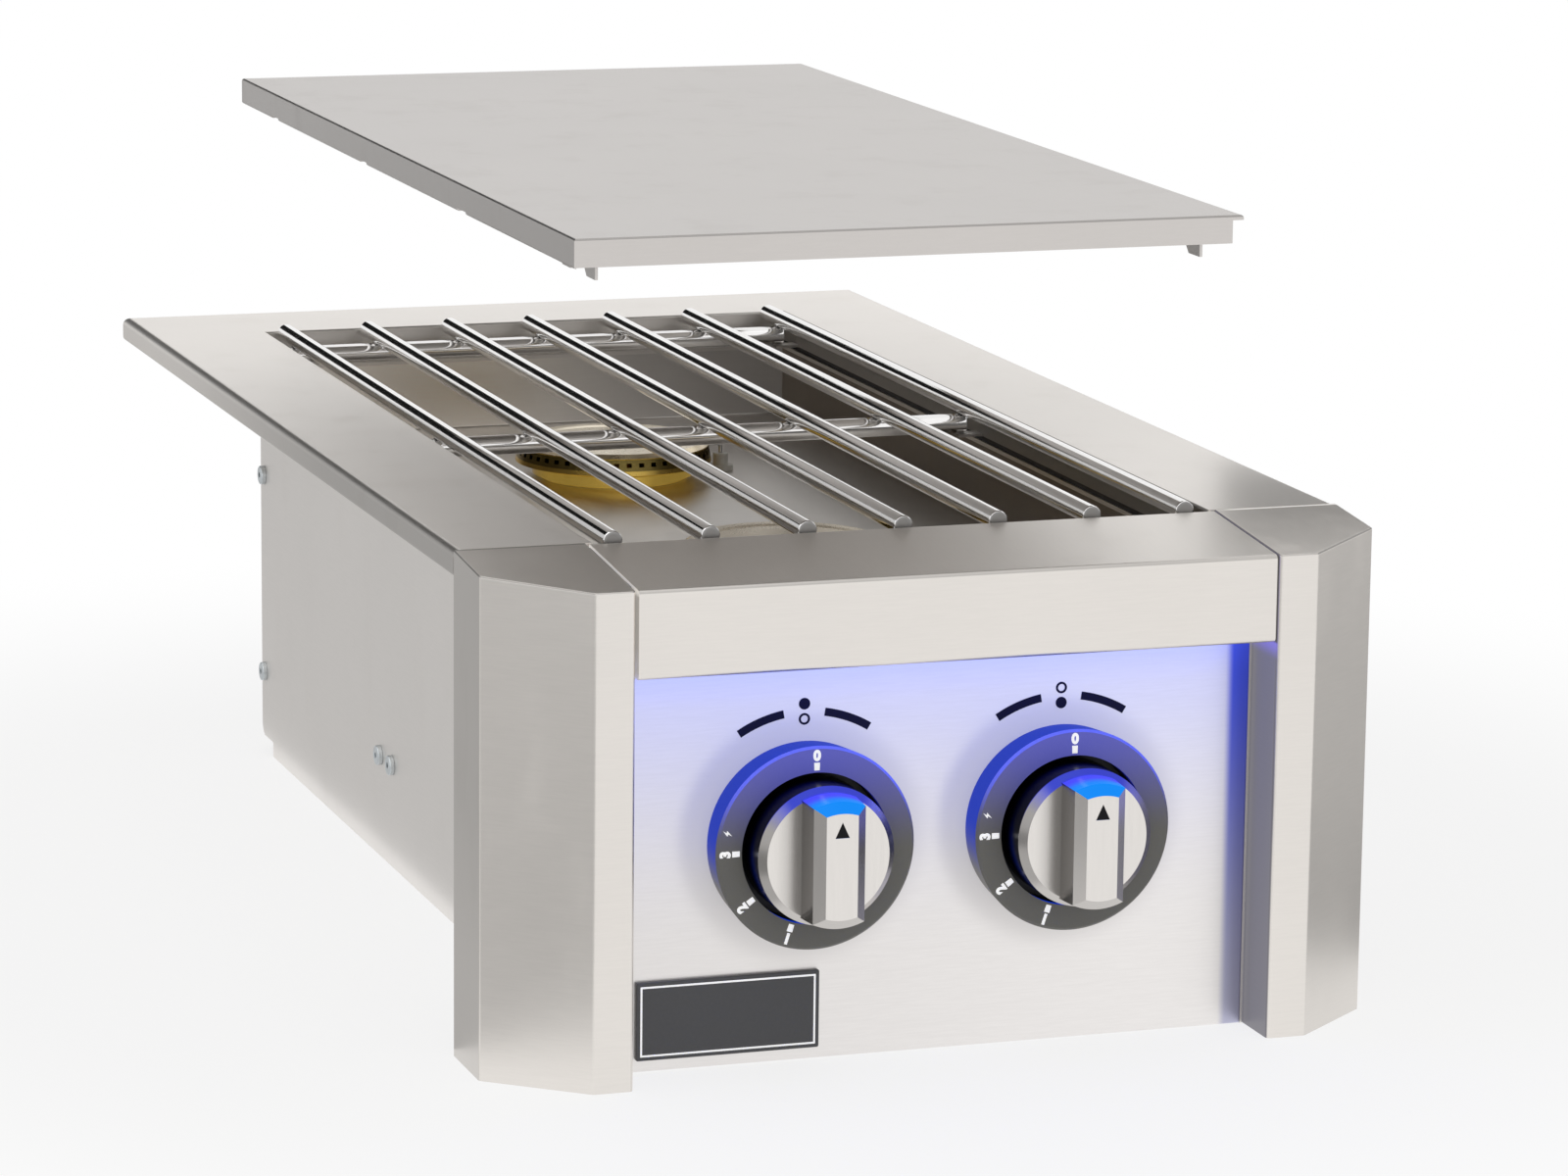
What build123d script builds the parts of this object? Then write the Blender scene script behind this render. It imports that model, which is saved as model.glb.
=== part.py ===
from build123d import *
import math
import os

# Double side burner that drops into a counter, in millimetres. X runs to the right, Y to the back and Z up.
# The pieces are drawn with Y = 0 on the front faces of the columns and Z = 0 on the base.
# At the end they are moved along Y, so that the origin is under the middle of the whole.

# Sheet metal
SHEET = 1.2               # thickness of the folded sheets
FOLD = 0.8                # inner radius of a fold
LAP = 0.1                 # gap between pieces that lie against each other
SEAM = 0.4                # open seam between neighbouring sheets
CASING_GAP = 1.0          # between casing sheets that don't meet

# Deck
WIDTH = 368.0             # overall width
DECK_TOP = 201.0          # height of the deck over the base
DECK_LENGTH = 595.0       # front seam to rear edge
DECK_SKIRT = 11.0         # depth of the turned-down edges
DECK_LIP = 10.0           # lip turned in under the skirts
DECK_ROUND = 2.3          # inner radius of the deck's outer edges
SIDE_RAIL = 55.8          # deck beside the opening
REAR_RAIL = 59.3          # deck behind the opening
HEM = 14.0                # depth of the hem round the opening

# Apron
APRON_DEPTH = 66.8        # front faces of the columns to the front seam
APRON_FALL = 5.8          # how far the apron's top falls to the front
COLUMN_FACE = 16.2        # flat front of a column
COLUMN_SIDE = 36.1        # outer side of a column
COLUMN_FLANGE = 12.0      # flange at the rear of a column
COLUMN_BACK = 60.0        # depth of the inner wall of a column
COLUMN_GAP = 0.4          # column to side panel
HEADER_FACE = 34.7        # front of the header
HEADER_LIP = 14.0         # lip under the header
HEADER_GAP = 1.0          # header to column
HEADER_RETURN = 10.0      # depth of the returns at the ends of the header's front

# Control panel and its light
PANEL_RECESS = 23.2       # column face to panel face
PANEL_FLANGE = 15.0       # depth of the flanges round the panel
PANEL_FOOT = 0.4          # bottom of the panel over the base
LIGHT_END = 4.4           # light's ends to the inside of the casing
LIGHT_DEPTH = 8.0
LIGHT_HEIGHT = 10.0
LENS_HEIGHT = 2.0
LENS_DEPTH = 5.0
PLATE_WIDTH = 74.4        # bare plate on the panel
PLATE_HEIGHT = 31.2
PLATE_THICK = 2.0
PLATE_LEFT = 5.7          # plate to the left edge of the panel
PLATE_FOOT = 5.3          # bottom of the plate over the base

# Dials
KNOB_SPACING = 106.0
KNOB_SHIFT = -3.1         # middle of the pair from the middle of the unit
KNOB_HEIGHT = 88.7        # knob axes over the base
BEZEL_RADIUS = 39.0       # at the panel
BEZEL_FLARE = 1.3         # how much wider the bezel is at its front
BEZEL_HEIGHT = 15.7
BEZEL_EDGE = 1.0
BEZEL_WALL = 3.0
BEZEL_HOLE = 30.0
CUP_WALL = 2.5
KNOB_RADIUS = 27.5
KNOB_EDGE = 2.8           # chamfer round the knob's disc
KNOB_PROUD = 15.0         # disc in front of the bezel
KNOB_INSET = 8.5          # knob rim behind the bezel's front
KNOB_WALL = 3.0
HUB_RADIUS = 8.0
GRIP_HEIGHT = 16.0        # grip in front of the disc
GRIP_BASE = 22.0          # width of the grip at the disc
GRIP_SHOULDER = 20.8      # width where its chamfer starts
GRIP_FACE = 12.8          # width of its flat front
GRIP_CHAMFER = 3.5        # depth of its chamfer
GRIP_END = 24.9           # radius of the grip's ends
POINTER_TIP = 17.6        # pointer sunk in the grip, over the knob's axis
POINTER_FOOT = 11.4
POINTER_WIDTH = 5.8
POINTER_DEPTH = 0.5

# Valves
RUNNING = 0.05            # radial gap of a turning or sliding fit
STEM_RADIUS = 4.0
STEM_TAIL = 5.0           # width of the square tail
STEM_SHORT = 4.5          # stem's tip behind the knob's disc
COLLAR_RADIUS = 6.5
COLLAR = 2.2
PRESS = 3.0               # how far a knob is pressed in
VALVE_RADIUS = 13.0
VALVE_NECK = 5.6
VALVE_WALL = 2.0
VALVE_OUTLET = 8.5
PLUG_RADIUS = 8.0
PLUG_LENGTH = 21.5
SPRING_LENGTH = 11.3
SPRING_WALL = 1.8
PORT_RADIUS = 2.5         # gas ports in the valve
PORT_BACK = 5.4           # inlet port to the rear of the plug
LEG_RADIUS = 7.0
JET_HEX = 12.0
JET_HEAD = 6.0
JET_NOSE = 10.0
JET_HOLE = 0.8

# Gas pipes
PIPE_RADIUS = 10.65       # manifold
PIPE_WALL = 2.6
PIPE_DROP = 26.7          # valve axis to manifold axis
PIPE_BEND = 32.0
PIPE_RETURN = 36.0        # straight end behind the bend
PIPE_END = 30.0           # manifold's closed end beyond the left valve
BOSS_RADIUS = 9.0
BOSS_RISE = 2.3           # boss over the manifold
INLET_RADIUS = 6.35
INLET_WALL = 1.0
INLET_SIDE = 24.0         # inlet pipe to the inside of the right panel
INLET_COLLAR = 12.0
FITTING_HEX = 24.0
FITTING_INNER = 11.0      # nut inside the rear panel
FITTING_OUTER = 5.0       # nut outside the rear panel
THREAD_RADIUS = 7.94
THREAD_LENGTH = 18.0
MIXER_RADIUS = 9.5
MIXER_BELL = 13.2
MIXER_FLARE = 14.0
MIXER_BEND = 40.0
MIXER_SLANT = 1.28        # run to the back for each step to the middle
MIXER_RISE = 26.0         # bend radius into the upright end

# Burners
WELL_DEPTH = 50.0         # deck to the floor of the well
WELL_RIM = 16.5           # deck to the rim of the well
BURNER_SHIFT = 2.35       # middle of the pair behind the middle of the opening
BURNER_SPACING = 250.0
BASE_RADIUS = 37.0
BASE_FOOT = 2.0
BASE_RING = 4.5
HEAD_RADIUS = 44.8        # bottom edge of the head
HEAD_HEIGHT = 8.2
HEAD_WALL = 5.0
CAP_RADIUS = 43.5
CAP_HEIGHT = 2.4
FLAME_PORTS = 48
FLAME_PORT = 2.4          # width of a flame port
FLAME_PORT_HEIGHT = 1.9
FLAME_PORT_DROP = 1.3     # ports under the top of the head
ELECTRODE_OUT = 8.5       # electrode outside the cap
ELECTRODE_BACK = 2.0      # electrode behind the burner's middle
INSULATOR_RADIUS = 3.5
INSULATOR_UP = 8.0
INSULATOR_DOWN = 15.0
WIRE_RADIUS = 0.9
SPARK_GAP = 2.0

# Casing under the deck
BASE_FLANGE = 12.0
NOTCH_LENGTH = 21.0       # raised rear end of the side panels
NOTCH_HEIGHT = 7.0
NOTCH_ROUND = 6.0
REAR_FLANGE = 14.0
VENT_LENGTH = 60.0
VENT_WIDTH = 8.0
BRACE_FRONT = 104.2       # rear burner to the front of the brace
BRACE_WIDTH = 30.0
BRACE_HEIGHT = 16.0
BRACE_CLEAR = 1.6         # inlet pipe over the brace
SADDLE_WIDTH = 26.0
MODULE_WIDTH = 50.0
MODULE_DEPTH = 26.0
MODULE_HEIGHT = 22.0
MODULE_SIDE = 42.0        # module to the inlet pipe
LEAD_RADIUS = 1.5
LEAD_RISE = 36.0
SCREW_RADIUS = 4.4
SCREW_HEAD = 2.2
SCREW_SHANK = 2.0
SCREW_LENGTH = 8.0
SCREW_PAIR = 20.4         # between the two screws of the brace
SCREW_REAR = 6.2          # rear screws from the rear face
SCREW_HIGH = 133.3        # rear screws over the base
SCREW_LOW = 38.5

# Grate
BAR_RADIUS = 3.97
BAR_COUNT = 7
BAR_DROP = 0.2            # bar axes under the deck's top
BAR_MARGIN = 8.8          # outer bar axes to the side hems
BAR_FRONT = 2.2           # bar ends to the header
BAR_REAR = 2.3            # bar ends to the rear hem
BAR_END = 1.2             # rounding of the bar ends
ROD_RADIUS = 4.3
ROD_OVERHANG = 2.1        # rod ends beyond the outer bar axes
ROD_REAR = 19.5           # rear rod to the rear hem
ROD_FRONT = 8.2           # front rod to the header
REST_REACH = 11.0         # grate rests on the side hems
REST_WIDTH = 8.0

# Lid
LID_LIFT = 107.5          # drawn lifted, as photographed
LID_HEIGHT = 11.8
LID_SIDE = 9.8            # lid over the side hems
LID_FRONT_LAP = 5.8       # lid over the header
LID_REAR_LAP = 4.5        # lid over the rear hem
LID_FRONT_SHORT = 0.6     # front skirt shorter than the sides
LID_HEM = 5.0
LID_NOTCH = 14.0          # breaks in the bottom edge
LID_NOTCH_DEEP = 1.3
LID_NOTCH_PITCH = 160.0
LID_NOTCH_REAR = 64.0     # rearmost break from the rear
LID_CORNER = 14.0         # right side flange starts behind the front
LID_RELIEF = 4.6          # front skirt ends short of the right edge
TAB_IN = 2.9              # tabs from the side hems
TAB_DROP = 18.1           # lid top to the bottom of the tabs
TAB_LENGTH = 16.3
TAB_FRONT = 12.7          # front tabs behind the lid's front edge
TAB_PITCH = 33.0
TAB_SLANT = 5.0

# Places that follow from the sizes above
HALF = WIDTH / 2
BEND = FOLD + SHEET
DECK_FRONT = APRON_DEPTH + SEAM
DECK_REAR = APRON_DEPTH + DECK_LENGTH
OPEN = HALF - SIDE_RAIL
OPEN_REAR = DECK_REAR - REAR_RAIL
WALL_IN = OPEN + SHEET + LAP
WALL_OUT = WALL_IN + SHEET
INSIDE = WALL_IN - LAP
REAR_IN = OPEN_REAR + SHEET + LAP
REAR_OUT = REAR_IN + SHEET
COLUMN_IN = WALL_OUT + COLUMN_GAP
HEADER_LOW = DECK_TOP - APRON_FALL - HEADER_FACE
UNDER_HEM = DECK_TOP - HEM - CASING_GAP
PANEL_BACK = PANEL_RECESS + SHEET
BASE_FRONT = PANEL_RECESS + PANEL_FLANGE + CASING_GAP
WELL_FLOOR = DECK_TOP - WELL_DEPTH
WELL_UNDER = WELL_FLOOR - SHEET

KNOB_X = {"left": KNOB_SHIFT - KNOB_SPACING / 2, "right": KNOB_SHIFT + KNOB_SPACING / 2}
BEZEL_FACE = PANEL_RECESS - BEZEL_HEIGHT
KNOB_DISC = BEZEL_FACE - KNOB_PROUD
KNOB_FACE = KNOB_DISC - GRIP_HEIGHT
KNOB_REAR = BEZEL_FACE + KNOB_INSET
STEM_TIP = KNOB_DISC + STEM_SHORT
VALVE_FRONT = PANEL_BACK + VALVE_NECK
ROOM_FRONT = VALVE_FRONT + VALVE_WALL
COLLAR_REAR = ROOM_FRONT + 2 * LAP + COLLAR
PLUG_FRONT = COLLAR_REAR + 2 * LAP + SPRING_LENGTH
PLUG_REAR = PLUG_FRONT + PLUG_LENGTH
VALVE_REAR = PLUG_REAR + LAP + VALVE_OUTLET
PORT_Y = PLUG_REAR - PORT_BACK
JET_TIP = VALVE_REAR + JET_HEAD + JET_NOSE
PIPE_Z = KNOB_HEIGHT - PIPE_DROP
BOSS_TOP = PIPE_Z + PIPE_RADIUS + BOSS_RISE
INLET_X = INSIDE - INLET_SIDE
INLET_START = PORT_Y + PIPE_BEND + PIPE_RETURN
FITTING_END = REAR_OUT + LAP + FITTING_OUTER

BURNER_MIDDLE = (APRON_DEPTH + OPEN_REAR) / 2 + BURNER_SHIFT
BURNER_Y = {"rear": BURNER_MIDDLE + BURNER_SPACING / 2, "front": BURNER_MIDDLE - BURNER_SPACING / 2}
HEAD_LOW = WELL_FLOOR + BASE_FOOT + BASE_RING
HEAD_TOP = HEAD_LOW + HEAD_HEIGHT
CAP_TOP = HEAD_TOP + CAP_HEIGHT
THROAT = MIXER_RADIUS - SHEET
ELECTRODE_X = CAP_RADIUS + ELECTRODE_OUT
PORT_TOP = HEAD_TOP - FLAME_PORT_DROP
WIRE_TOP = PORT_TOP - FLAME_PORT_HEIGHT / 2

BRACE_TOP = PIPE_Z - INLET_RADIUS - BRACE_CLEAR
BRACE_LOW = BRACE_TOP - BRACE_HEIGHT
BRACE_Y = BURNER_Y["rear"] - BRACE_FRONT
BRACE_MID = BRACE_Y + BRACE_WIDTH / 2
MODULE_X = INLET_X - MODULE_SIDE
MODULE_TOP = BRACE_TOP + MODULE_HEIGHT
NOTCH_Y = REAR_OUT - NOTCH_LENGTH
SCREWS = [
    (BRACE_MID + SCREW_PAIR / 2, BRACE_LOW + BRACE_HEIGHT / 2),
    (BRACE_MID - SCREW_PAIR / 2, BRACE_LOW + BRACE_HEIGHT / 2),
    (REAR_OUT - SCREW_REAR, SCREW_HIGH),
    (REAR_OUT - SCREW_REAR, SCREW_LOW),
]

BAR_X = OPEN - BAR_MARGIN
BAR_Z = DECK_TOP - BAR_DROP
ROD_Z = BAR_Z - BAR_RADIUS - ROD_RADIUS - LAP / 2
ROD_PITCH = (OPEN_REAR - APRON_DEPTH - ROD_REAR - ROD_FRONT) / 2
ROD_Y = {name: OPEN_REAR - ROD_REAR - i * ROD_PITCH for i, name in enumerate(("rear", "middle", "front"))}

LID_LOW = DECK_TOP + LAP + LID_LIFT
LID_TOP = LID_LOW + LID_HEIGHT
LID_HALF = OPEN + LID_SIDE
LID_FRONT = APRON_DEPTH - LID_FRONT_LAP
LID_REAR = OPEN_REAR + LID_REAR_LAP

MIDDLE_Y = (KNOB_FACE + DECK_REAR) / 2


def block(x, y, z):
    """Box between a low and a high value on each axis."""
    return Pos(x[0], y[0], z[0]) * Box(x[1] - x[0], y[1] - y[0], z[1] - z[0], align=Align.MIN)


def bar(start, end, radius):
    """Round bar between two points."""
    line = Line(start, end)
    return extrude(Plane(start, z_dir=line % 0) * Circle(radius), line.length)


def swept(points, radius, bend):
    """Round bar along straight runs joined by arcs."""
    path = FilletPolyline(*points, radius=bend)
    return sweep(Plane(path @ 0, z_dir=path % 0) * Circle(radius), path=path)


def turned_y(points):
    """Solid turned about the Y axis from (radius, y) points."""
    return revolve(Polygon(*points, align=None), Axis.Y)


def turned_z(points):
    """Solid turned about the Z axis from (radius, z) points."""
    return revolve(Plane.XZ * Polygon(*points, align=None), Axis.Z)


def nut_y(across, x, y, z):
    """Hexagonal prism along Y between two depths."""
    plane = Plane((x, y[0], z), x_dir=(1, 0, 0), z_dir=(0, 1, 0))
    return extrude(plane * RegularPolygon(across / 2, 6, major_radius=False), y[1] - y[0])


def across(outline):
    """Wide prism along X from a closed outline of (y, z) points."""
    return extrude(Plane.YZ * Polygon(*outline, align=None), WIDTH, both=True)


def moved_in(points, distance):
    """Open line moved to its left, with its corners kept sharp."""
    sides = []
    for (x0, y0), (x1, y1) in zip(points, points[1:]):
        length = math.hypot(x1 - x0, y1 - y0)
        sides.append(((y0 - y1) / length, (x1 - x0) / length))
    line = []
    for i, (x, y) in enumerate(points):
        a = sides[max(i - 1, 0)]
        b = sides[min(i, len(sides) - 1)]
        step = distance / (1 + a[0] * b[0] + a[1] * b[1])
        line.append((x + step * (a[0] + b[0]), y + step * (a[1] + b[1])))
    return line


def folded(points):
    """Section of a folded sheet. The points run along its outer side, with the metal on their left."""
    outer = FilletPolyline(*points, radius=BEND)
    inner = FilletPolyline(*moved_in(points, SHEET), radius=FOLD)
    ends = [Line(outer @ 0, inner @ 0), Line(outer @ 1, inner @ 1)]
    return make_face([*outer.edges(), *inner.edges(), *ends])


def face_at(shape, axis, end):
    """First or last face of a shape along an axis."""
    return shape.faces().sort_by(axis)[end]


def apron_slope(drop):
    """Everything under the sloping top of the apron, lowered by drop."""
    front = DECK_TOP - APRON_FALL - drop
    return across([(0, 0), (0, front), (APRON_DEPTH, DECK_TOP - drop), (APRON_DEPTH, 0)])


def deck():
    low = DECK_TOP - DECK_SKIRT
    outer = block((-HALF, HALF), (DECK_FRONT, DECK_REAR), (low, DECK_TOP))
    outer = fillet(face_at(outer, Axis.Z, -1).edges().sort_by(Axis.Y)[1:], DECK_ROUND + SHEET)
    outer = fillet(face_at(outer, Axis.Z, 0).edges().sort_by(Axis.Y)[1:], BEND)
    room_x = HALF - SHEET
    room_y = (DECK_FRONT - SHEET, DECK_REAR - SHEET)
    room = block((-room_x, room_x), room_y, (low + SHEET, DECK_TOP - SHEET))
    room = fillet(face_at(room, Axis.Z, -1).edges().sort_by(Axis.Y)[1:], DECK_ROUND)
    mouth_x = room_x - DECK_LIP
    mouth = block((-mouth_x, mouth_x), (room_y[0], room_y[1] - DECK_LIP), (low - SHEET, low + 2 * SHEET))
    hem_x = OPEN + SHEET
    hem = block((-hem_x, hem_x), (DECK_FRONT, OPEN_REAR + SHEET), (DECK_TOP - HEM, DECK_TOP - SHEET / 2))
    hole = block((-OPEN, OPEN), (DECK_FRONT - SHEET, OPEN_REAR), (DECK_TOP - 2 * HEM, DECK_TOP + SHEET))
    body = outer - room - mouth + hem - hole
    rim = []
    for edge in face_at(body, Axis.Z, -1).edges():
        middle = edge.center()
        if abs(abs(middle.X) - OPEN) < LAP or abs(middle.Y - OPEN_REAR) < LAP:
            rim.append(edge)
    body = fillet(rim, SHEET * 0.9)
    rest_top = ROD_Z - ROD_RADIUS - 2 * LAP
    for y in ROD_Y.values():
        for side in (-1, 1):
            ends = sorted((side * (OPEN - REST_REACH), side * (OPEN + SHEET / 2)))
            body += block(ends, (y - REST_WIDTH / 2, y + REST_WIDTH / 2), (rest_top - SHEET, rest_top))
    return body


def right_column():
    outside = [
        (COLUMN_IN, 0),
        (COLUMN_IN + COLUMN_FACE, 0),
        (HALF, APRON_DEPTH - COLUMN_SIDE),
        (HALF, APRON_DEPTH),
    ]
    plan = FilletPolyline((COLUMN_IN, APRON_DEPTH), *outside, radius=BEND)
    body = extrude(make_face([*plan.edges(), Line(plan @ 1, plan @ 0)]), DECK_TOP) & apron_slope(0)
    slope = face_at(body, Axis.Z, -1)
    body = fillet([edge for edge in slope.edges() if edge.center().Y < APRON_DEPTH - LAP], FOLD)
    inside = FilletPolyline(*moved_in([(COLUMN_IN, APRON_DEPTH), *outside], SHEET), radius=FOLD)
    room = extrude(make_face([*inside.edges(), Line(inside @ 1, inside @ 0)]), DECK_TOP) & apron_slope(SHEET)
    flange = block((HALF - COLUMN_FLANGE, HALF), (APRON_DEPTH - SHEET, APRON_DEPTH), (0, DECK_TOP))
    body -= room - flange
    edge_x = (COLUMN_IN - SHEET, COLUMN_IN + 2 * SHEET)
    return body - (block(edge_x, (COLUMN_BACK, 2 * APRON_DEPTH), (-SHEET, DECK_TOP)) & apron_slope(2 * SHEET))


def header():
    front_top = DECK_TOP - APRON_FALL
    outside = [
        (APRON_DEPTH, DECK_TOP - HEM),
        (APRON_DEPTH, DECK_TOP),
        (0, front_top),
        (0, HEADER_LOW),
        (HEADER_LIP, HEADER_LOW),
    ]
    end = COLUMN_IN - HEADER_GAP
    line = FilletPolyline(*outside, radius=BEND)
    filled = extrude(Plane.YZ * make_face([*line.edges(), Line(line @ 1, line @ 0)]), end, both=True)
    ends = filled - block((SHEET - end, end - SHEET), (0, APRON_DEPTH), (0, DECK_TOP))
    returns = ends & block((-end, end), (0, HEADER_RETURN), (0, DECK_TOP))
    return extrude(Plane.YZ * folded(outside), end, both=True) + returns


def control_panel():
    rear = PANEL_RECESS + PANEL_FLANGE
    body = block((-INSIDE, INSIDE), (PANEL_RECESS, rear), (PANEL_FOOT, UNDER_HEM))
    body = fillet(face_at(body, Axis.Y, 0).edges(), FOLD)
    inner = INSIDE - SHEET
    body -= block((-inner, inner), (PANEL_BACK, rear + SHEET), (PANEL_FOOT + SHEET, UNDER_HEM - SHEET))
    for x in KNOB_X.values():
        body -= bar((x, 0, KNOB_HEIGHT), (x, rear, KNOB_HEIGHT), STEM_RADIUS + SEAM)
    return body


def light(piece):
    rear = PANEL_RECESS - 2 * LAP
    middle = rear - LIGHT_DEPTH / 2
    low = HEADER_LOW + SEAM
    half = INSIDE - LIGHT_END
    lens_x = half - LENS_HEIGHT
    lens_y = (middle - LENS_DEPTH / 2, middle + LENS_DEPTH / 2)
    lens = block((-lens_x, lens_x), lens_y, (low, low + 2 * LENS_HEIGHT))
    if piece == "lens":
        return lens
    case_low = low + LENS_HEIGHT
    case = block((-half, half), (rear - LIGHT_DEPTH, rear), (case_low, case_low + LIGHT_HEIGHT))
    case = fillet(case.edges().filter_by(Axis.X), FOLD)
    slot_x = lens_x + LAP
    slot_y = (lens_y[0] - LAP, lens_y[1] + LAP)
    return case - block((-slot_x, slot_x), slot_y, (low, low + 2 * LENS_HEIGHT + LAP))


def badge_plate():
    left = PLATE_LEFT - INSIDE
    body = block((left, left + PLATE_WIDTH), (PANEL_RECESS - PLATE_THICK, PANEL_RECESS),
                 (PLATE_FOOT, PLATE_FOOT + PLATE_HEIGHT))
    body = fillet(body.edges().filter_by(Axis.Y), FOLD)
    return fillet(face_at(body, Axis.Y, 0).edges(), FOLD / 2)


def at_knob(side, shape):
    """Move a shape turned about the Y axis to a knob's axis."""
    return Pos(KNOB_X[side], 0, KNOB_HEIGHT) * shape


def bezel(side):
    front = BEZEL_RADIUS + BEZEL_FLARE
    inner = BEZEL_RADIUS - BEZEL_WALL
    ledge = BEZEL_FACE + BEZEL_WALL
    return at_knob(side, turned_y([
        (BEZEL_RADIUS, PANEL_RECESS),
        (front, BEZEL_FACE + BEZEL_EDGE),
        (front - BEZEL_EDGE, BEZEL_FACE),
        (BEZEL_HOLE, BEZEL_FACE),
        (BEZEL_HOLE, ledge),
        (inner, ledge),
        (inner, PANEL_RECESS),
    ]))


def bezel_cup(side):
    outer = BEZEL_RADIUS - BEZEL_WALL - LAP
    inner = BEZEL_HOLE + LAP
    floor = PANEL_RECESS - CUP_WALL
    rim = BEZEL_FACE + BEZEL_WALL + LAP
    return at_knob(side, turned_y([
        (STEM_RADIUS + SEAM, PANEL_RECESS),
        (outer, PANEL_RECESS),
        (outer, floor),
        (inner + CUP_WALL, floor),
        (inner + CUP_WALL, rim),
        (inner, rim),
        (inner, floor),
        (STEM_RADIUS + SEAM, floor),
    ]))


def knob(side):
    plate = KNOB_DISC + 1.5 * KNOB_WALL
    body = turned_y([
        (0, KNOB_DISC),
        (KNOB_RADIUS - KNOB_EDGE, KNOB_DISC),
        (KNOB_RADIUS, KNOB_DISC + KNOB_EDGE),
        (KNOB_RADIUS, KNOB_REAR),
        (KNOB_RADIUS - KNOB_WALL, KNOB_REAR),
        (KNOB_RADIUS - KNOB_WALL, plate),
        (HUB_RADIUS, plate),
        (HUB_RADIUS, KNOB_REAR - 2 * LAP),
        (0, KNOB_REAR - 2 * LAP),
    ])
    root = KNOB_DISC + KNOB_WALL
    shoulder = KNOB_FACE + GRIP_CHAMFER
    profile = [(GRIP_BASE / 2, root), (GRIP_SHOULDER / 2, shoulder), (GRIP_FACE / 2, KNOB_FACE)]
    profile += [(-x, y) for x, y in reversed(profile)]
    ridge = extrude(Polygon(*profile, align=None), 2 * KNOB_RADIUS, both=True)
    inset = (GRIP_SHOULDER - GRIP_FACE) / 2
    ends = [(0, root), (GRIP_END + FOLD, root), (GRIP_END, shoulder), (GRIP_END - inset, KNOB_FACE)]
    body += ridge & turned_y([*ends, (0, KNOB_FACE)])
    body -= bar((0, STEM_TIP - LAP, 0), (0, KNOB_REAR + SHEET, 0), STEM_RADIUS + RUNNING)
    half = POINTER_WIDTH / 2
    triangle = Polygon((0, POINTER_TIP), (-half, POINTER_FOOT), (half, POINTER_FOOT), align=None)
    sunk = Plane((0, KNOB_FACE + POINTER_DEPTH, 0), x_dir=(1, 0, 0), z_dir=(0, -1, 0))
    body -= extrude(sunk * triangle, 2 * POINTER_DEPTH)
    return at_knob(side, body)


def valve_stem(side):
    body = bar((0, STEM_TIP, 0), (0, COLLAR_REAR, 0), STEM_RADIUS)
    body += bar((0, COLLAR_REAR - COLLAR, 0), (0, COLLAR_REAR, 0), COLLAR_RADIUS)
    tail = STEM_TAIL / 2
    body += block((-tail, tail), (COLLAR_REAR - COLLAR, PLUG_FRONT + 2 * PRESS), (-tail, tail))
    return at_knob(side, body)


def stem_spring(side):
    inner = COLLAR_RADIUS - SPRING_WALL
    return at_knob(side, turned_y([
        (inner, COLLAR_REAR + LAP),
        (COLLAR_RADIUS, COLLAR_REAR + LAP),
        (COLLAR_RADIUS, PLUG_FRONT - LAP),
        (inner, PLUG_FRONT - LAP),
    ]))


def valve_plug(side):
    body = bar((0, PLUG_FRONT, 0), (0, PLUG_REAR, 0), PLUG_RADIUS)
    socket = STEM_TAIL / 2 + LAP
    body -= block((-socket, socket), (PLUG_FRONT - SHEET, PLUG_FRONT + 3 * PRESS + SHEET), (-socket, socket))
    body -= bar((0, PORT_Y - PORT_RADIUS, 0), (0, PLUG_REAR + SHEET, 0), PORT_RADIUS)
    body -= bar((0, PORT_Y, 0), (-2 * PLUG_RADIUS, PORT_Y, 0), PORT_RADIUS)
    return at_knob(side, body)


def valve_body(side):
    body = bar((0, VALVE_FRONT, 0), (0, VALVE_REAR, 0), VALVE_RADIUS)
    body += bar((0, PANEL_BACK + LAP, 0), (0, VALVE_FRONT, 0), STEM_RADIUS + 2 * SHEET)
    leg_end = BOSS_TOP + LAP - KNOB_HEIGHT
    body += bar((0, PORT_Y, 0), (0, PORT_Y, leg_end), LEG_RADIUS)
    body -= bar((0, ROOM_FRONT, 0), (0, PLUG_REAR + LAP, 0), PLUG_RADIUS + RUNNING)
    body -= bar((0, PANEL_RECESS, 0), (0, ROOM_FRONT, 0), STEM_RADIUS + RUNNING)
    body -= bar((0, PLUG_REAR, 0), (0, VALVE_REAR + SHEET, 0), PORT_RADIUS)
    body -= bar((0, PORT_Y, 0), (0, PORT_Y, leg_end - SHEET), PORT_RADIUS)
    return at_knob(side, body)


def orifice(side):
    body = nut_y(JET_HEX, 0, (VALVE_REAR + LAP, VALVE_REAR + JET_HEAD), 0)
    nose = JET_HEX / 3
    body += turned_y([
        (0, VALVE_REAR + JET_HEAD),
        (nose, VALVE_REAR + JET_HEAD),
        (nose, JET_TIP - SHEET),
        (nose - SHEET, JET_TIP),
        (0, JET_TIP),
    ])
    body -= bar((0, VALVE_REAR, 0), (0, JET_TIP - 2 * SHEET, 0), PORT_RADIUS)
    body -= bar((0, VALVE_REAR, 0), (0, JET_TIP + SHEET, 0), JET_HOLE)
    return at_knob(side, body)


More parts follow.
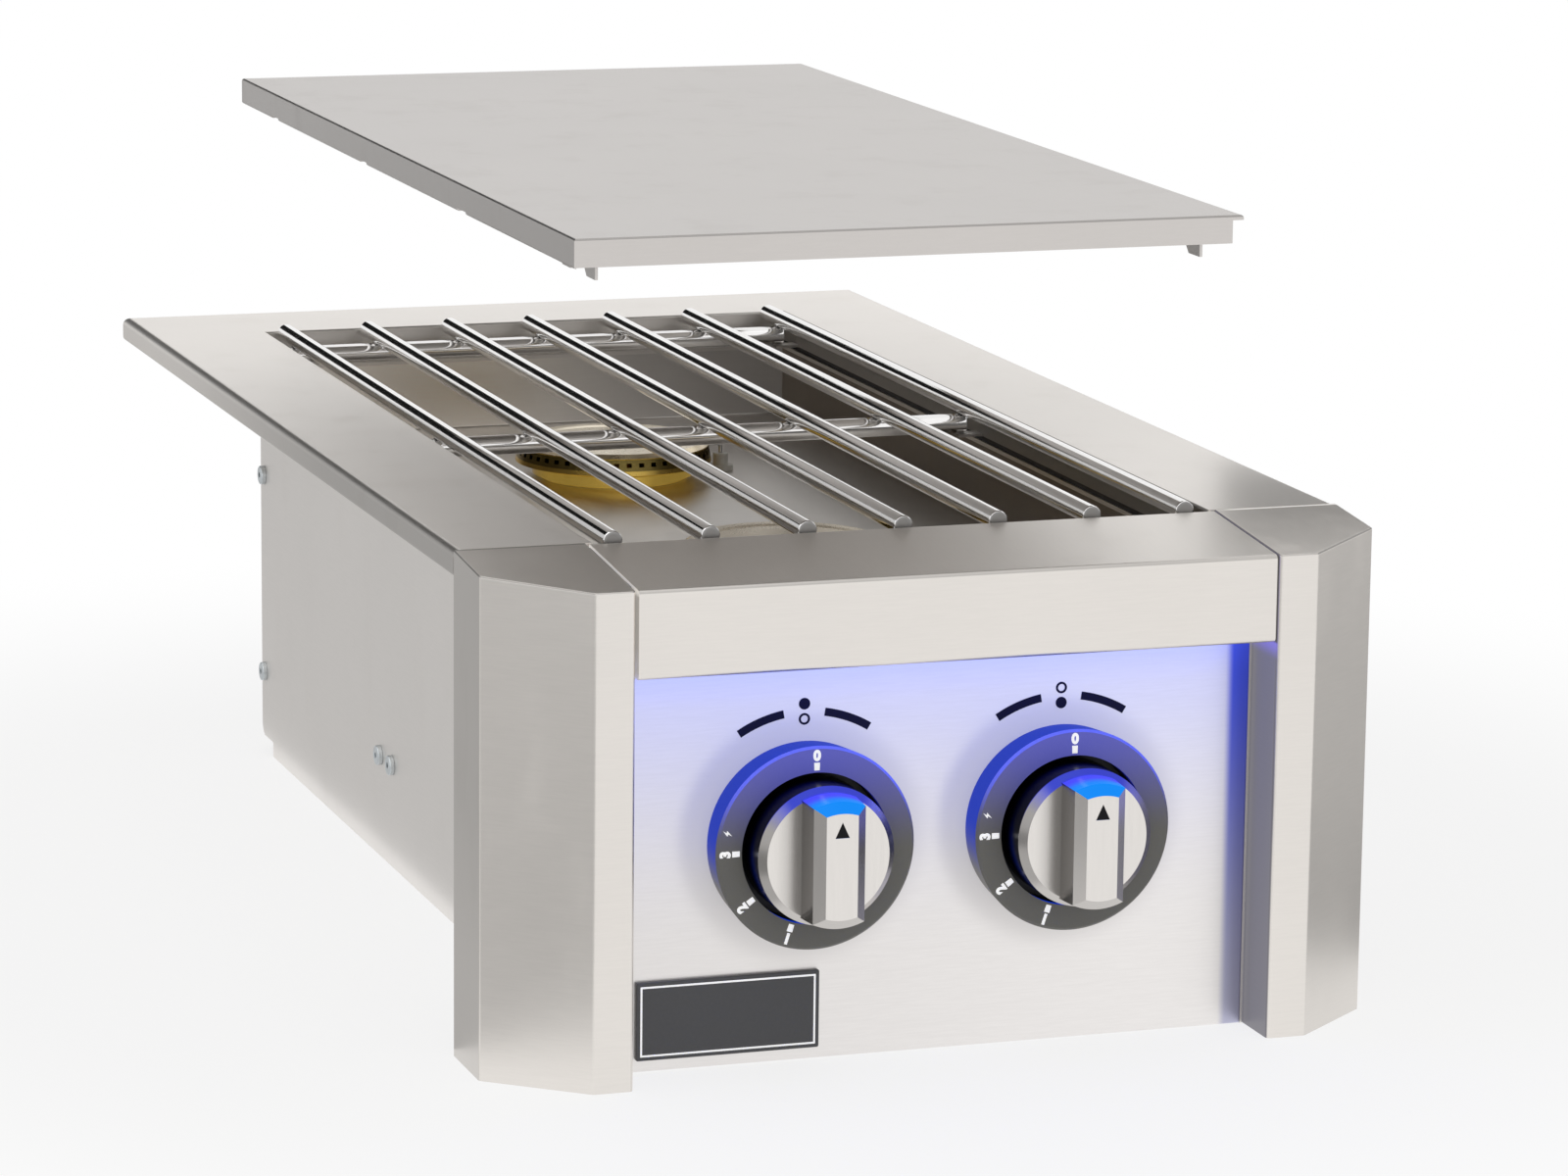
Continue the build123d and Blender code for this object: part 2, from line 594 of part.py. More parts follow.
def gas_manifold():
    start = KNOB_X["left"] - PIPE_END
    turn = (INLET_X, PORT_Y, PIPE_Z)
    end = (INLET_X, INLET_START, PIPE_Z)
    body = swept([(start, PORT_Y, PIPE_Z), turn, end], PIPE_RADIUS, PIPE_BEND)
    for x in KNOB_X.values():
        body += bar((x, PORT_Y, PIPE_Z), (x, PORT_Y, BOSS_TOP), BOSS_RADIUS)
    body -= swept([(start + PIPE_WALL, PORT_Y, PIPE_Z), turn, end], PIPE_RADIUS - PIPE_WALL, PIPE_BEND)
    for x in KNOB_X.values():
        body -= bar((x, PORT_Y, PIPE_Z), (x, PORT_Y, BOSS_TOP + SHEET), PORT_RADIUS)
    return body


def gas_inlet_pipe():
    start = INLET_START + LAP
    end = REAR_IN - LAP - FITTING_INNER - LAP
    body = bar((INLET_X, start, PIPE_Z), (INLET_X, start + INLET_COLLAR, PIPE_Z), PIPE_RADIUS)
    body += bar((INLET_X, start, PIPE_Z), (INLET_X, end, PIPE_Z), INLET_RADIUS)
    bore = INLET_RADIUS - INLET_WALL
    return body - bar((INLET_X, start - SHEET, PIPE_Z), (INLET_X, end + SHEET, PIPE_Z), bore)


def gas_inlet_fitting():
    start = REAR_IN - LAP - FITTING_INNER
    end = FITTING_END + THREAD_LENGTH
    body = nut_y(FITTING_HEX, INLET_X, (start, REAR_IN - LAP), PIPE_Z)
    body += nut_y(FITTING_HEX, INLET_X, (REAR_OUT + LAP, FITTING_END), PIPE_Z)
    body += bar((INLET_X, start, PIPE_Z), (INLET_X, end, PIPE_Z), THREAD_RADIUS)
    bore = INLET_RADIUS - INLET_WALL
    return body - bar((INLET_X, start - SHEET, PIPE_Z), (INLET_X, end + SHEET, PIPE_Z), bore)


def mixer_tube(place, side):
    x = KNOB_X[side]
    y = BURNER_Y[place]
    mouth = JET_TIP - JET_NOSE / 2
    start = mouth + MIXER_FLARE
    turn = (x, y - MIXER_SLANT * abs(x), KNOB_HEIGHT)
    run = [(x, start, KNOB_HEIGHT), turn, (0, y, KNOB_HEIGHT), (0, y, WELL_UNDER - LAP)]
    bends = (MIXER_BEND, MIXER_RISE)
    tube = swept(run, MIXER_RADIUS, bends) - swept(run, THROAT, bends)
    bell = [(THROAT, start), (MIXER_RADIUS, start), (MIXER_BELL, mouth), (MIXER_BELL - SHEET, mouth)]
    return tube + at_knob(side, turned_y(bell))


def burner_base(place):
    ring = WELL_FLOOR + LAP + BASE_FOOT
    body = turned_z([
        (THROAT, WELL_FLOOR + LAP),
        (BASE_RADIUS - 3 * SHEET, WELL_FLOOR + LAP),
        (BASE_RADIUS - 3 * SHEET, ring),
        (BASE_RADIUS, ring),
        (BASE_RADIUS, HEAD_LOW - FOLD),
        (BASE_RADIUS - FOLD, HEAD_LOW),
        (THROAT, HEAD_LOW),
    ])
    return Pos(0, BURNER_Y[place], 0) * body


def burner_head(place):
    seat = HEAD_LOW + LAP
    room = CAP_RADIUS - HEAD_WALL
    body = turned_z([
        (THROAT, seat),
        (BASE_RADIUS - 2 * SHEET, seat),
        (HEAD_RADIUS, seat + SHEET),
        (CAP_RADIUS, HEAD_TOP),
        (room, HEAD_TOP),
        (room, PORT_TOP - 1.5 * FLAME_PORT_HEIGHT),
        (THROAT, seat + 2 * SHEET),
    ])
    half = FLAME_PORT / 2
    port_z = (PORT_TOP - FLAME_PORT_HEIGHT, PORT_TOP)
    port = block((room - SHEET, HEAD_RADIUS + SHEET), (-half, half), port_z)
    body -= [Rot(0, 0, 360 * i / FLAME_PORTS) * port for i in range(FLAME_PORTS)]
    return Pos(0, BURNER_Y[place], 0) * body


def burner_cap(place):
    seat = HEAD_TOP + LAP
    plug = CAP_RADIUS - HEAD_WALL - LAP
    body = turned_z([
        (0, seat - SHEET),
        (plug, seat - SHEET),
        (plug, seat),
        (CAP_RADIUS, seat),
        (CAP_RADIUS, seat + CAP_HEIGHT / 4),
        (CAP_RADIUS - CAP_HEIGHT, CAP_TOP),
        (CAP_RADIUS - 3 * CAP_HEIGHT, CAP_TOP),
        (CAP_RADIUS - 4 * CAP_HEIGHT, CAP_TOP - SHEET / 3),
        (0, CAP_TOP - SHEET / 3),
    ])
    return Pos(0, BURNER_Y[place], 0) * body


def electrode_place(place):
    """Axis of a burner's electrode."""
    return ELECTRODE_X, BURNER_Y[place] + ELECTRODE_BACK


def insulator(place):
    x, y = electrode_place(place)
    top = WELL_FLOOR + INSULATOR_UP
    body = bar((x, y, WELL_FLOOR - INSULATOR_DOWN), (x, y, top), INSULATOR_RADIUS)
    body += bar((x, y, WELL_FLOOR + LAP), (x, y, WELL_FLOOR + 2 * SHEET), INSULATOR_RADIUS + 2 * SHEET)
    return fillet(body.edges().sort_by(Axis.Z)[-1], FOLD)


def electrode(place):
    x, y = electrode_place(place)
    foot = (x, y, WELL_FLOOR + INSULATOR_UP + LAP)
    tip = (CAP_RADIUS + SPARK_GAP, y, WIRE_TOP)
    return swept([foot, (x, y, WIRE_TOP), tip], WIRE_RADIUS, 2 * WIRE_RADIUS)


def spark_module():
    half_x = MODULE_WIDTH / 2
    half_y = MODULE_DEPTH / 2
    body = block((MODULE_X - half_x, MODULE_X + half_x), (BRACE_MID - half_y, BRACE_MID + half_y),
                 (BRACE_TOP + LAP, MODULE_TOP))
    body = fillet(body.edges().filter_by(Axis.Z), 2 * SHEET)
    return fillet(face_at(body, Axis.Z, -1).edges(), FOLD)


def igniter_leads():
    leads = []
    for place, step in (("rear", 1), ("front", -1)):
        x, y = electrode_place(place)
        start_y = BRACE_MID + step * MODULE_DEPTH / 4
        high = MODULE_TOP + LEAD_RISE
        foot = WELL_FLOOR - INSULATOR_DOWN - LAP
        run = [(MODULE_X, start_y, MODULE_TOP + LAP), (MODULE_X, start_y, high), (x, y, high), (x, y, foot)]
        bends = (0.45 * LEAD_RISE, 0.45 * (foot - high))
        leads.append(swept(run, LEAD_RADIUS, bends))
    return leads


def burner_well():
    front = DECK_FRONT + LAP
    rear = REAR_IN - LAP
    rim = DECK_TOP - WELL_RIM
    body = block((-INSIDE, INSIDE), (front, rear), (WELL_UNDER, rim))
    body = fillet(face_at(body, Axis.Z, 0).edges(), BEND)
    inner = INSIDE - SHEET
    room = block((-inner, inner), (front + SHEET, rear - SHEET), (WELL_FLOOR, rim + SHEET))
    body -= fillet(face_at(room, Axis.Z, 0).edges(), FOLD)
    for place, y in BURNER_Y.items():
        body -= bar((0, y, WELL_UNDER - SHEET), (0, y, rim), THROAT)
        x, y = electrode_place(place)
        body -= bar((x, y, WELL_UNDER - SHEET), (x, y, rim), INSULATOR_RADIUS + LAP)
    return body


def screw_holes():
    """Round bars through both sides where the panel screws go."""
    return [bar((-HALF, y, z), (HALF, y, z), SCREW_SHANK + LAP) for y, z in SCREWS]


def right_panel():
    front = PANEL_BACK + 2 * LAP
    body = block((WALL_IN, WALL_OUT), (front, REAR_OUT), (0, DECK_TOP - SHEET - LAP))
    body -= block((0, HALF), (0, DECK_FRONT + SEAM), (UNDER_HEM, DECK_TOP))
    body -= block((0, HALF), (NOTCH_Y, REAR_OUT + SHEET), (-SHEET, NOTCH_HEIGHT))
    corner = body.edges().filter_by(Axis.X).group_by(Axis.Y)[-1].sort_by(Axis.Z)[0]
    return fillet(corner, NOTCH_ROUND) - screw_holes()


def rear_panel():
    foot = NOTCH_HEIGHT + SHEET
    body = block((-INSIDE, INSIDE), (REAR_IN, REAR_OUT), (foot, DECK_TOP - SHEET - LAP))
    for side in (-1, 1):
        ends = sorted((side * INSIDE, side * (INSIDE - SHEET)))
        flange_y = (REAR_OUT - SHEET - REAR_FLANGE, REAR_OUT)
        body += block(ends, flange_y, (foot + NOTCH_ROUND, WELL_UNDER - 2 * SHEET))
    body -= bar((INLET_X, REAR_IN - SHEET, PIPE_Z), (INLET_X, REAR_OUT + SHEET, PIPE_Z), THREAD_RADIUS + SEAM)
    return body - screw_holes()


def base_pan():
    rear = NOTCH_Y - CASING_GAP
    body = block((-INSIDE, INSIDE), (BASE_FRONT, rear), (0, BASE_FLANGE))
    body = fillet(face_at(body, Axis.Z, 0).edges(), BEND)
    inner = INSIDE - SHEET
    body -= block((-inner, inner), (BASE_FRONT + SHEET, rear - SHEET), (SHEET, BASE_FLANGE + SHEET))
    for y in BURNER_Y.values():
        for step in (-1.5, -0.5, 0.5, 1.5):
            middle = y + step * 3 * VENT_WIDTH
            for side in (-1, 1):
                x = side * 0.9 * VENT_LENGTH
                slot = Pos(x, middle, 0) * SlotOverall(VENT_LENGTH, VENT_WIDTH)
                body -= extrude(slot, 2 * SHEET)
    return body


def cross_brace():
    rear = BRACE_Y + BRACE_WIDTH
    body = block((-INSIDE, INSIDE), (BRACE_Y, rear), (BRACE_LOW, BRACE_TOP))
    inner = INSIDE - SHEET
    body -= block((-inner, inner), (BRACE_Y + SHEET, rear - SHEET), (BRACE_LOW - SHEET, BRACE_TOP - SHEET))
    x = KNOB_X["left"]
    saddle_x = (x - SADDLE_WIDTH / 2, x + SADDLE_WIDTH / 2)
    body += block(saddle_x, (BRACE_Y, BRACE_Y + SHEET), (BRACE_TOP - SHEET, KNOB_HEIGHT - SADDLE_WIDTH / 8))
    body -= bar((x, BRACE_Y - SHEET, KNOB_HEIGHT), (x, BRACE_MID, KNOB_HEIGHT), MIXER_RADIUS + 2 * LAP)
    return body - screw_holes()


def panel_screws():
    head = bar((0, 0, 0), (SCREW_HEAD, 0, 0), SCREW_RADIUS)
    head = fillet(head.edges().sort_by(Axis.X)[-1], SCREW_HEAD / 3)
    plane = Plane((SCREW_HEAD / 2, 0, 0), x_dir=(0, 1, 0), z_dir=(1, 0, 0))
    socket = extrude(plane * RegularPolygon(SCREW_SHANK * 0.7, 6), SCREW_HEAD)
    screw = head - socket + bar((-SCREW_LENGTH, 0, 0), (0, 0, 0), SCREW_SHANK)
    right = [Pos(WALL_OUT + LAP, y, z) * screw for y, z in SCREWS]
    return right + [mirror(one, about=Plane.YZ) for one in right]


def grate_bar(number):
    x = BAR_X * (2 * number / (BAR_COUNT - 1) - 1)
    body = bar((x, APRON_DEPTH + BAR_FRONT, BAR_Z), (x, OPEN_REAR - BAR_REAR, BAR_Z), BAR_RADIUS)
    return fillet(body.edges().filter_by(GeomType.CIRCLE), BAR_END)


def grate_rod(place):
    reach = BAR_X + ROD_OVERHANG
    body = bar((-reach, ROD_Y[place], ROD_Z), (reach, ROD_Y[place], ROD_Z), ROD_RADIUS)
    return fillet(body.edges().filter_by(GeomType.CIRCLE), FOLD)


def lid():
    outer = block((-LID_HALF, LID_HALF), (LID_FRONT, LID_REAR), (LID_LOW, LID_TOP))
    outer = fillet(face_at(outer, Axis.Z, -1).edges(), SHEET)
    outer = fillet(face_at(outer, Axis.Z, 0).edges().filter_by(Axis.Y), SHEET)
    inner = LID_HALF - SHEET
    room_y = (LID_FRONT + SHEET, LID_REAR - SHEET)
    room = block((-inner, inner), room_y, (LID_LOW - SHEET, LID_TOP - SHEET))
    body = outer - fillet(face_at(room, Axis.Z, -1).edges(), FOLD)
    for side in (-1, 1):
        ends = sorted((side * (inner - SHEET), side * (inner + SHEET / 4)))
        body += block(ends, (LID_FRONT + LID_CORNER, LID_REAR - SHEET / 2), (LID_LOW, LID_LOW + LID_HEM))
        past = sorted((side * (inner - 2 * SHEET), side * HALF))
        for step in range(3):
            y = LID_REAR - LID_NOTCH_REAR - step * LID_NOTCH_PITCH
            notch_y = (y - LID_NOTCH / 2, y + LID_NOTCH / 2)
            body -= block(past, notch_y, (LID_LOW - SHEET, LID_LOW + LID_NOTCH_DEEP))
    fold = LID_TOP - BEND
    front_y = (LID_FRONT - SHEET, room_y[0])
    body -= block((-HALF, HALF), front_y, (LID_LOW - SHEET, LID_LOW + LID_FRONT_SHORT))
    corner_y = (LID_FRONT - SHEET, LID_FRONT + LID_CORNER)
    body -= block((LID_HALF - LID_RELIEF, HALF), corner_y, (LID_LOW - SHEET, fold))
    return body


def lid_tabs():
    plates = []
    top = LID_TOP - SHEET - LAP
    low = LID_TOP - TAB_DROP
    for start in (LID_FRONT + TAB_FRONT, LID_FRONT + TAB_FRONT + TAB_PITCH):
        end = start + TAB_LENGTH
        outline = [(start, top), (start, low), (end - TAB_SLANT, low), (end, low + TAB_SLANT), (end, top)]
        for x in (-OPEN + TAB_IN - SHEET / 2, OPEN - TAB_IN - SHEET / 2):
            plates.append(extrude(Plane.YZ.offset(x) * Polygon(*outline, align=None), SHEET))
    return plates


def write(name, shape):
    """Write one piece, or several that make one node, in the frame of the part."""
    if isinstance(shape, list):
        shape = Compound(children=shape)
    export_step(Pos(0, -MIDDLE_Y, 0) * shape, "parts/" + name + ".step")


os.makedirs("parts", exist_ok=True)

write("deck", deck())
column = right_column()
write("right_column", column)
write("left_column", mirror(column, about=Plane.YZ))
write("header", header())
write("control_panel", control_panel())
write("light_housing", light("housing"))
write("light_lens", light("lens"))
write("badge_plate", badge_plate())
for name in KNOB_X:
    write(name + "_bezel", bezel(name))
    write(name + "_bezel_cup", bezel_cup(name))
    write(name + "_knob", knob(name))
    write(name + "_valve_stem", valve_stem(name))
    write(name + "_stem_spring", stem_spring(name))
    write(name + "_valve_plug", valve_plug(name))
    write(name + "_valve_body", valve_body(name))
    write(name + "_orifice", orifice(name))
write("gas_manifold", gas_manifold())
write("gas_inlet_pipe", gas_inlet_pipe())
write("gas_inlet_fitting", gas_inlet_fitting())
write("rear_mixer_tube", mixer_tube("rear", "left"))
write("front_mixer_tube", mixer_tube("front", "right"))
for name in BURNER_Y:
    write(name + "_burner_base", burner_base(name))
    write(name + "_burner_head", burner_head(name))
    write(name + "_burner_cap", burner_cap(name))
    write(name + "_insulator", insulator(name))
    write(name + "_electrode", electrode(name))
write("spark_module", spark_module())
write("igniter_leads", igniter_leads())
write("burner_well", burner_well())
side_panel = right_panel()
write("right_panel", side_panel)
write("left_panel", mirror(side_panel, about=Plane.YZ))
write("rear_panel", rear_panel())
write("base_pan", base_pan())
write("cross_brace", cross_brace())
write("panel_screws", panel_screws())
for index in range(BAR_COUNT):
    write("grate_bar_%d" % (index + 1), grate_bar(index))
for name in ROD_Y:
    write("grate_rod_" + name, grate_rod(name))
write("lid", lid())
write("lid_tabs", lid_tabs())
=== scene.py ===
import math

import bmesh
import bpy
from mathutils import Matrix, Vector


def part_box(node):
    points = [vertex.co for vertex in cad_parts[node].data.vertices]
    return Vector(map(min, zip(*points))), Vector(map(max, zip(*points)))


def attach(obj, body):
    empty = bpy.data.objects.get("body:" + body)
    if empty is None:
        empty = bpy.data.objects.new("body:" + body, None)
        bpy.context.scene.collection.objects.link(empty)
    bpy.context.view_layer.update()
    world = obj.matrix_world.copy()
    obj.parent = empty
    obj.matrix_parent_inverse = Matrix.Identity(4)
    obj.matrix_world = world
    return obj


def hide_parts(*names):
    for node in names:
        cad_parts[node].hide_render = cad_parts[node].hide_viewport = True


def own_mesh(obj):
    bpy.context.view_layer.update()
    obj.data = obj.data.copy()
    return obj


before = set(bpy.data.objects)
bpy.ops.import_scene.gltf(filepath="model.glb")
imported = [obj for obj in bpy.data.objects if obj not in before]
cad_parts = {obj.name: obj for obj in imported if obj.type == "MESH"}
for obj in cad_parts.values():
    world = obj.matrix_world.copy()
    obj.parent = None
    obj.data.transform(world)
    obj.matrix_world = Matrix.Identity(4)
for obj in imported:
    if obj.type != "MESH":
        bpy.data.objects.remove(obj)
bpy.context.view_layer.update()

# Double side burner: finishes, dial marks, springs, studio and camera. Metres, X right, Y back, Z up.

# Camera, fitted to the photograph
CAMERA_PLACE = (-0.77025, -2.38821, 0.63803)
CAMERA_YAW = math.radians(-18.629)
CAMERA_PITCH = math.radians(-11.512)
CAMERA_ROLL = math.radians(0.629)
CAMERA_LENS = 135.045
SENSOR = 36.0

# Colours, linear
STEEL = (0.78, 0.745, 0.705)
# the lid's steel, darker than the deck's
LID_STEEL = (0.52, 0.496, 0.477)
CASING_STEEL = (0.80, 0.77, 0.74)
# painted shade: the burner tray's steel, darker than the deck's
SHADED_WELL_STEEL = (0.30, 0.27, 0.24)
CHROME = (0.86, 0.85, 0.84)
SATIN = (0.76, 0.73, 0.70)
GRAPHITE = (0.19, 0.186, 0.168)
BRASS = (0.80, 0.55, 0.13)
# painted light on the tops of the burner caps, and a painted highlight on the rear cap's top
PALE_BRASS = (0.62, 0.54, 0.41)
BRIGHT_BRASS = (0.92, 0.83, 0.66)
ZINC = (0.62, 0.66, 0.68)
BLACK = (0.012, 0.012, 0.013)
NAVY = (0.001, 0.002, 0.030)
PRINT_WHITE = (0.93, 0.93, 0.93)
LED_BLUE = (0.02, 0.09, 1.0)
FITTING_BRASS = (0.70, 0.50, 0.20)
# painted shade on the upper wall of a burner head
HEAD_BAND = (0.24, 0.18, 0.055)
PIPE_GREY = (0.60, 0.60, 0.60)
PLATE_GREY = (0.075, 0.075, 0.08)
CERAMIC = (0.78, 0.76, 0.70)
LEAD_RED = (0.30, 0.045, 0.03)
# painted shade on the bars' ends
SHADED_BAR_END = (0.26, 0.255, 0.25)
# painted shade on a knob's right flank, tinted blue
KNOB_RIGHT_SHADE = (0.40, 0.39, 0.45)
# knob's top, nearly black under its painted blue light
KNOB_TOP_UNDER_GLOW = (0.01, 0.02, 0.05)
# bezel's rim, nearly black under its painted blue light
BEZEL_RIM = (0.01, 0.01, 0.02)
# painted light and shade on the burner tray's floor and walls, and a painted highlight on its rim
WELL_FLOOR = (0.58, 0.55, 0.515)
WELL_REAR = (0.98, 0.92, 0.84)
WELL_REAR_RIGHT = (0.56, 0.53, 0.50)
WELL_RIGHT = (0.21, 0.172, 0.135)
WELL_RIM_HIGHLIGHT = (0.70, 0.66, 0.62)
LENS_BACK = (0.03, 0.03, 0.04)

# Pairs of colours that a grain mixes
# painted shade: the panel darker towards its left than its right
PANEL_LEFT = (0.745, 0.72, 0.705), (0.785, 0.76, 0.745)
PANEL_RIGHT = (0.82, 0.795, 0.78), (0.86, 0.835, 0.82)
PANEL_LIT = (0.50, 0.54, 0.80), (0.54, 0.58, 0.85)
LENS_CLEAR = (0.10, 0.16, 0.60), (0.16, 0.24, 0.75)
PANEL_EDGE = (0.50, 0.50, 0.64), (0.05, 0.09, 0.72)    # painted blue light along the panel's right edge, at its bottom and top

# Painted light that finishes give off in place of lamp light; only the lens's glow is the LED's own light
NO_GLOW = (0.0, 0.0, 0.0)
PANEL_GLOW = (0.03, 0.042, 0.33)
PANEL_WARM = (0.745, 0.72, 0.71)    # ring round a bezel, far below the light
PANEL_COOL = (0.52, 0.57, 1.0)      # the same close under it
AZURE = (0.0, 0.26, 0.95)           # top of a knob's grip, at its front
VIOLET = (0.07, 0.07, 1.0)          # the same further back
RIM_BLUE = (0.04, 0.045, 0.55)      # top of a knob's disc
FLANK_GLOW = (0.03, 0.03, 0.22)
BEZEL_FACE_GLOW = (0.0, 0.008, 0.42)
BEZEL_RIM_GLOW = (0.0, 0.028, 0.46)
BEZEL_EDGE_GLOW = (0.01, 0.04, 0.85)
ROD_GLOW = (0.07, 0.068, 0.066)
BRASS_GLOW = (0.17, 0.11, 0.018)
COLUMN_SIDE_GLOW = (0.165, 0.16, 0.185)
COLUMN_TOP_GLOW = (0.22, 0.19, 0.60)
COLUMN_JOINT_GLOW = (0.10, 0.095, 0.09)
COLUMN_SEAM_GLOW = (0.45, 0.44, 0.42)
HEADER_END_GLOW = (0.20, 0.195, 0.185)
HEADER_CROWN_GLOW = (0.40, 0.39, 0.37)
WELL_REAR_GLOW = (0.065, 0.062, 0.058)
WELL_REAR_RIGHT_GLOW = (0.035, 0.034, 0.033)
KNOB_SHINE = 0.95         # strengths of the glow
BEZEL_SHINE = 0.9
LENS_SHINE = 2.0

# What a zone of a finish goes by: place on an axis, or the way that the surface faces
X, Y, Z, FACE_X, FACE_Y, FACE_Z = range(6)

# Zone terms for the way that a surface faces
LEVEL = (FACE_Z, 0.9, 0.97)
CAP_TOP = (FACE_Z, 0.7, 0.9)
UPPER_BEND = (FACE_Z, 0.3, 0.6)
UNDERSIDE = (FACE_Z, -0.5, -0.8)
LEFTWARD = (FACE_X, -0.8, -0.97)
FORWARD = (FACE_Y, -0.6, -0.9)

# Grain: how often it changes in a metre, on each axis where there are three
BRUSH_LONG = 70.0         # along the brushing
BRUSH_FINE = 1100.0       # across it
CLOUDS = 9.0
SMEARS = (40.0, 40.0, 14.0)
TURNED_LONG = 60.0        # round a bar
TURNED_FINE = 1400.0      # along it
HAZE = 25.0
KNOB_GRAIN = (700.0, 700.0, 40.0)
PEBBLES = 2600.0
ENAMEL_GRIT = 900.0
BRASS_PATCHES = 60.0
BRASS_GRIT = 1500.0
SPANGLE = 220.0
ZINC_GRIT = 800.0
DIODES = (160.0, 1.0, 1.0)

# Strength and depth of bumps
BRUSH_BUMP = (0.07, 0.0002)
TURNED_BUMP = (0.03, 0.0001)
KNOB_BUMP = (0.05, 0.0001)
PEBBLE_BUMP = (0.12, 0.00005)
ENAMEL_BUMP = (0.06, 0.00005)
BRASS_BUMP = (0.03, 0.0001)
ZINC_BUMP = (0.05, 0.0001)

# Steel sheet
SHEET_WEAR = 0.03         # share by which brushing and handling change its shade
SHEET_ROUGH = 0.36
FOLDS = [                 # bends of a sheet that look up and to the front, left or right, and the painted shade on each
    ([(FACE_Y, -0.2, -0.4), (FACE_Z, 0.2, 0.4)], 0.66),
    ([(FACE_X, -0.2, -0.4), (FACE_Z, 0.2, 0.4)], 0.45),
    ([(FACE_X, 0.2, 0.4), (FACE_Z, 0.2, 0.4)], 0.35),
]

# Panel
GLOW_NEAR = 0.35          # share of the light close under the header
GLOW_WIDE = 0.65          # share that fades down the whole panel
RING_FROM = 0.015         # rougher ring round a bezel, where painted light stands in for part of its reflection: none at this distance from its edge
RING_FULL = 0.002         # and whole at this one
# share of the ring whose colour is darkened and made up with painted light
RING_PAINTED_LIGHT = 0.5
RING_ROUGH = 0.30

# Knobs, depths behind the front of the grip
GRIP_FADE = (0.005, 0.013)    # light on the top of the grip changes colour
DISC_SHADE = (0.012, 0.015)   # shade of the grip on the disc starts
DISC_FRONT = (0.0153, 0.0159)
DISC_BACK = (0.0188, 0.0194)

# Dial marks
MARK_THICK = 0.00018      # print on the bezels and the panel
MARK_SUNK = 0.00006       # how far print reaches into what carries it
TICK_INNER = 0.0309
TICK_OUTER = 0.0339
TICK_WIDTH = 0.0021
NUMERAL_RADIUS = 0.0345   # foot of a numeral from the dial's axis
NUMERAL_HEIGHT = 0.0045
NUMERAL_BOLD = 0.055      # share by which a numeral is swollen
SETTINGS = [("0", 0.0), ("3", 90.0), ("2", 126.0), ("1", 162.0)]
SPARK_TURN = 77.0         # spark sign beside the highest setting
LABEL_RADIUS = 0.0507     # middle of the label over a dial
LABEL_BAND = 0.0032
LABEL_FROM = 9.5
LABEL_TO = 31.5
LABEL_DISC = 0.0023
LABEL_HOLE = 0.62         # hole of a label's ring, share of its radius
LABEL_STEP = 0.0030       # label discs over and under the middle radius
POINTER_TIP = 0.0176      # pointer triangle over the knob's axis
POINTER_FOOT = 0.0114
POINTER_HALF = 0.0029
POINTER_BACK = 0.0005     # floor of the pointer's pocket behind the knob's face
POINTER_FRONT = 0.0001    # inlay under the knob's face
PLATE_INSET = 0.0016      # white line inside the plate's edge
PLATE_LINE = 0.0007

# Return springs inside the valves
SPRING_WIRE = 0.0014
SPRING_TURNS = 4
SPRING_STEPS = 28         # points in a turn
WIRE_SIDES = 10

# Studio
SKY_SOFT = 0.55           # strength of the surroundings as light on matt things
FLOOR_HALF = 6.0
FLOOR_GREY = (0.86, 0.86, 0.86)
FLOOR_WHITE = 0.80        # share of white in the floor near the burner
FLOOR_NEAR = 0.35         # from here the share grows
FLOOR_FAR = 0.75          # from here the floor is plain white
WHITE = (1.0, 1.0, 1.0)
SOFTBOX_PLACE = (-0.6, -0.4, 2.2)
SOFTBOX_TARGET = (0, 0, 0.1)
SOFTBOX_SIZE = (2.4, 2.4)
SOFTBOX_POWER = 9.0
STRIP_DEPTH = 0.004
STRIP_DROP = 0.001        # lamp under the lens
STRIP_LEAN = 0.02         # its target on the floor, in front of it
STRIP_POWER = 0.06
STRIP_COLOUR = (0.05, 0.12, 1.0)
CARD_LIFT = 0.002         # cards over the floor
CARDS = [                 # name, shade, corner and two edges
    ("left_flag", 0.01, (-2.10, 3.0, 0.95), (1.88, 0, 0), (0, 0.1, 2.0)),
    ("bar_flag", 0.01, (-1.08, 3.0, 0.70), (1.25, 0, 0), (0, 0.1, 0.68)),
    ("right_flag", 0.05, (0.198, -0.10, 0.226), (0.222, 0, 0), (0, 0, 0.094)),
    ("left_board", 0.60, (-0.90, 2.60, 0), (-0.90, -2.30, 0), (0, 0, 0.90)),
    ("left_floor", 0.62, (-2.60, -0.25, CARD_LIFT), (2.46, 0, 0), (0, 2.60, 0)),
    ("left_front_floor", 0.48, (-2.60, -2.20, CARD_LIFT), (2.38, 0, 0), (0, 1.90, 0)),
    ("right_floor", 0.46, (0.26, -0.42, CARD_LIFT), (2.36, 0, 0), (0, 1.42, 0)),
]


class Val:
    """A shader value. Sums with it add Math nodes."""

    def __init__(self, finish, socket):
        self.finish = finish
        self.socket = socket

    def sum(self, operation, first, second):
        return self.finish.node("ShaderNodeMath", {"operation": operation}, {0: first, 1: second})

    def __add__(self, other):
        return self.sum("ADD", self, other)

    def __radd__(self, other):
        return self.sum("ADD", other, self)

    def __sub__(self, other):
        return self.sum("SUBTRACT", self, other)

    def __rsub__(self, other):
        return self.sum("SUBTRACT", other, self)

    def __mul__(self, other):
        return self.sum("MULTIPLY", self, other)

    def __rmul__(self, other):
        return self.sum("MULTIPLY", other, self)

    def __abs__(self):
        return self.sum("ABSOLUTE", self, 0.0)


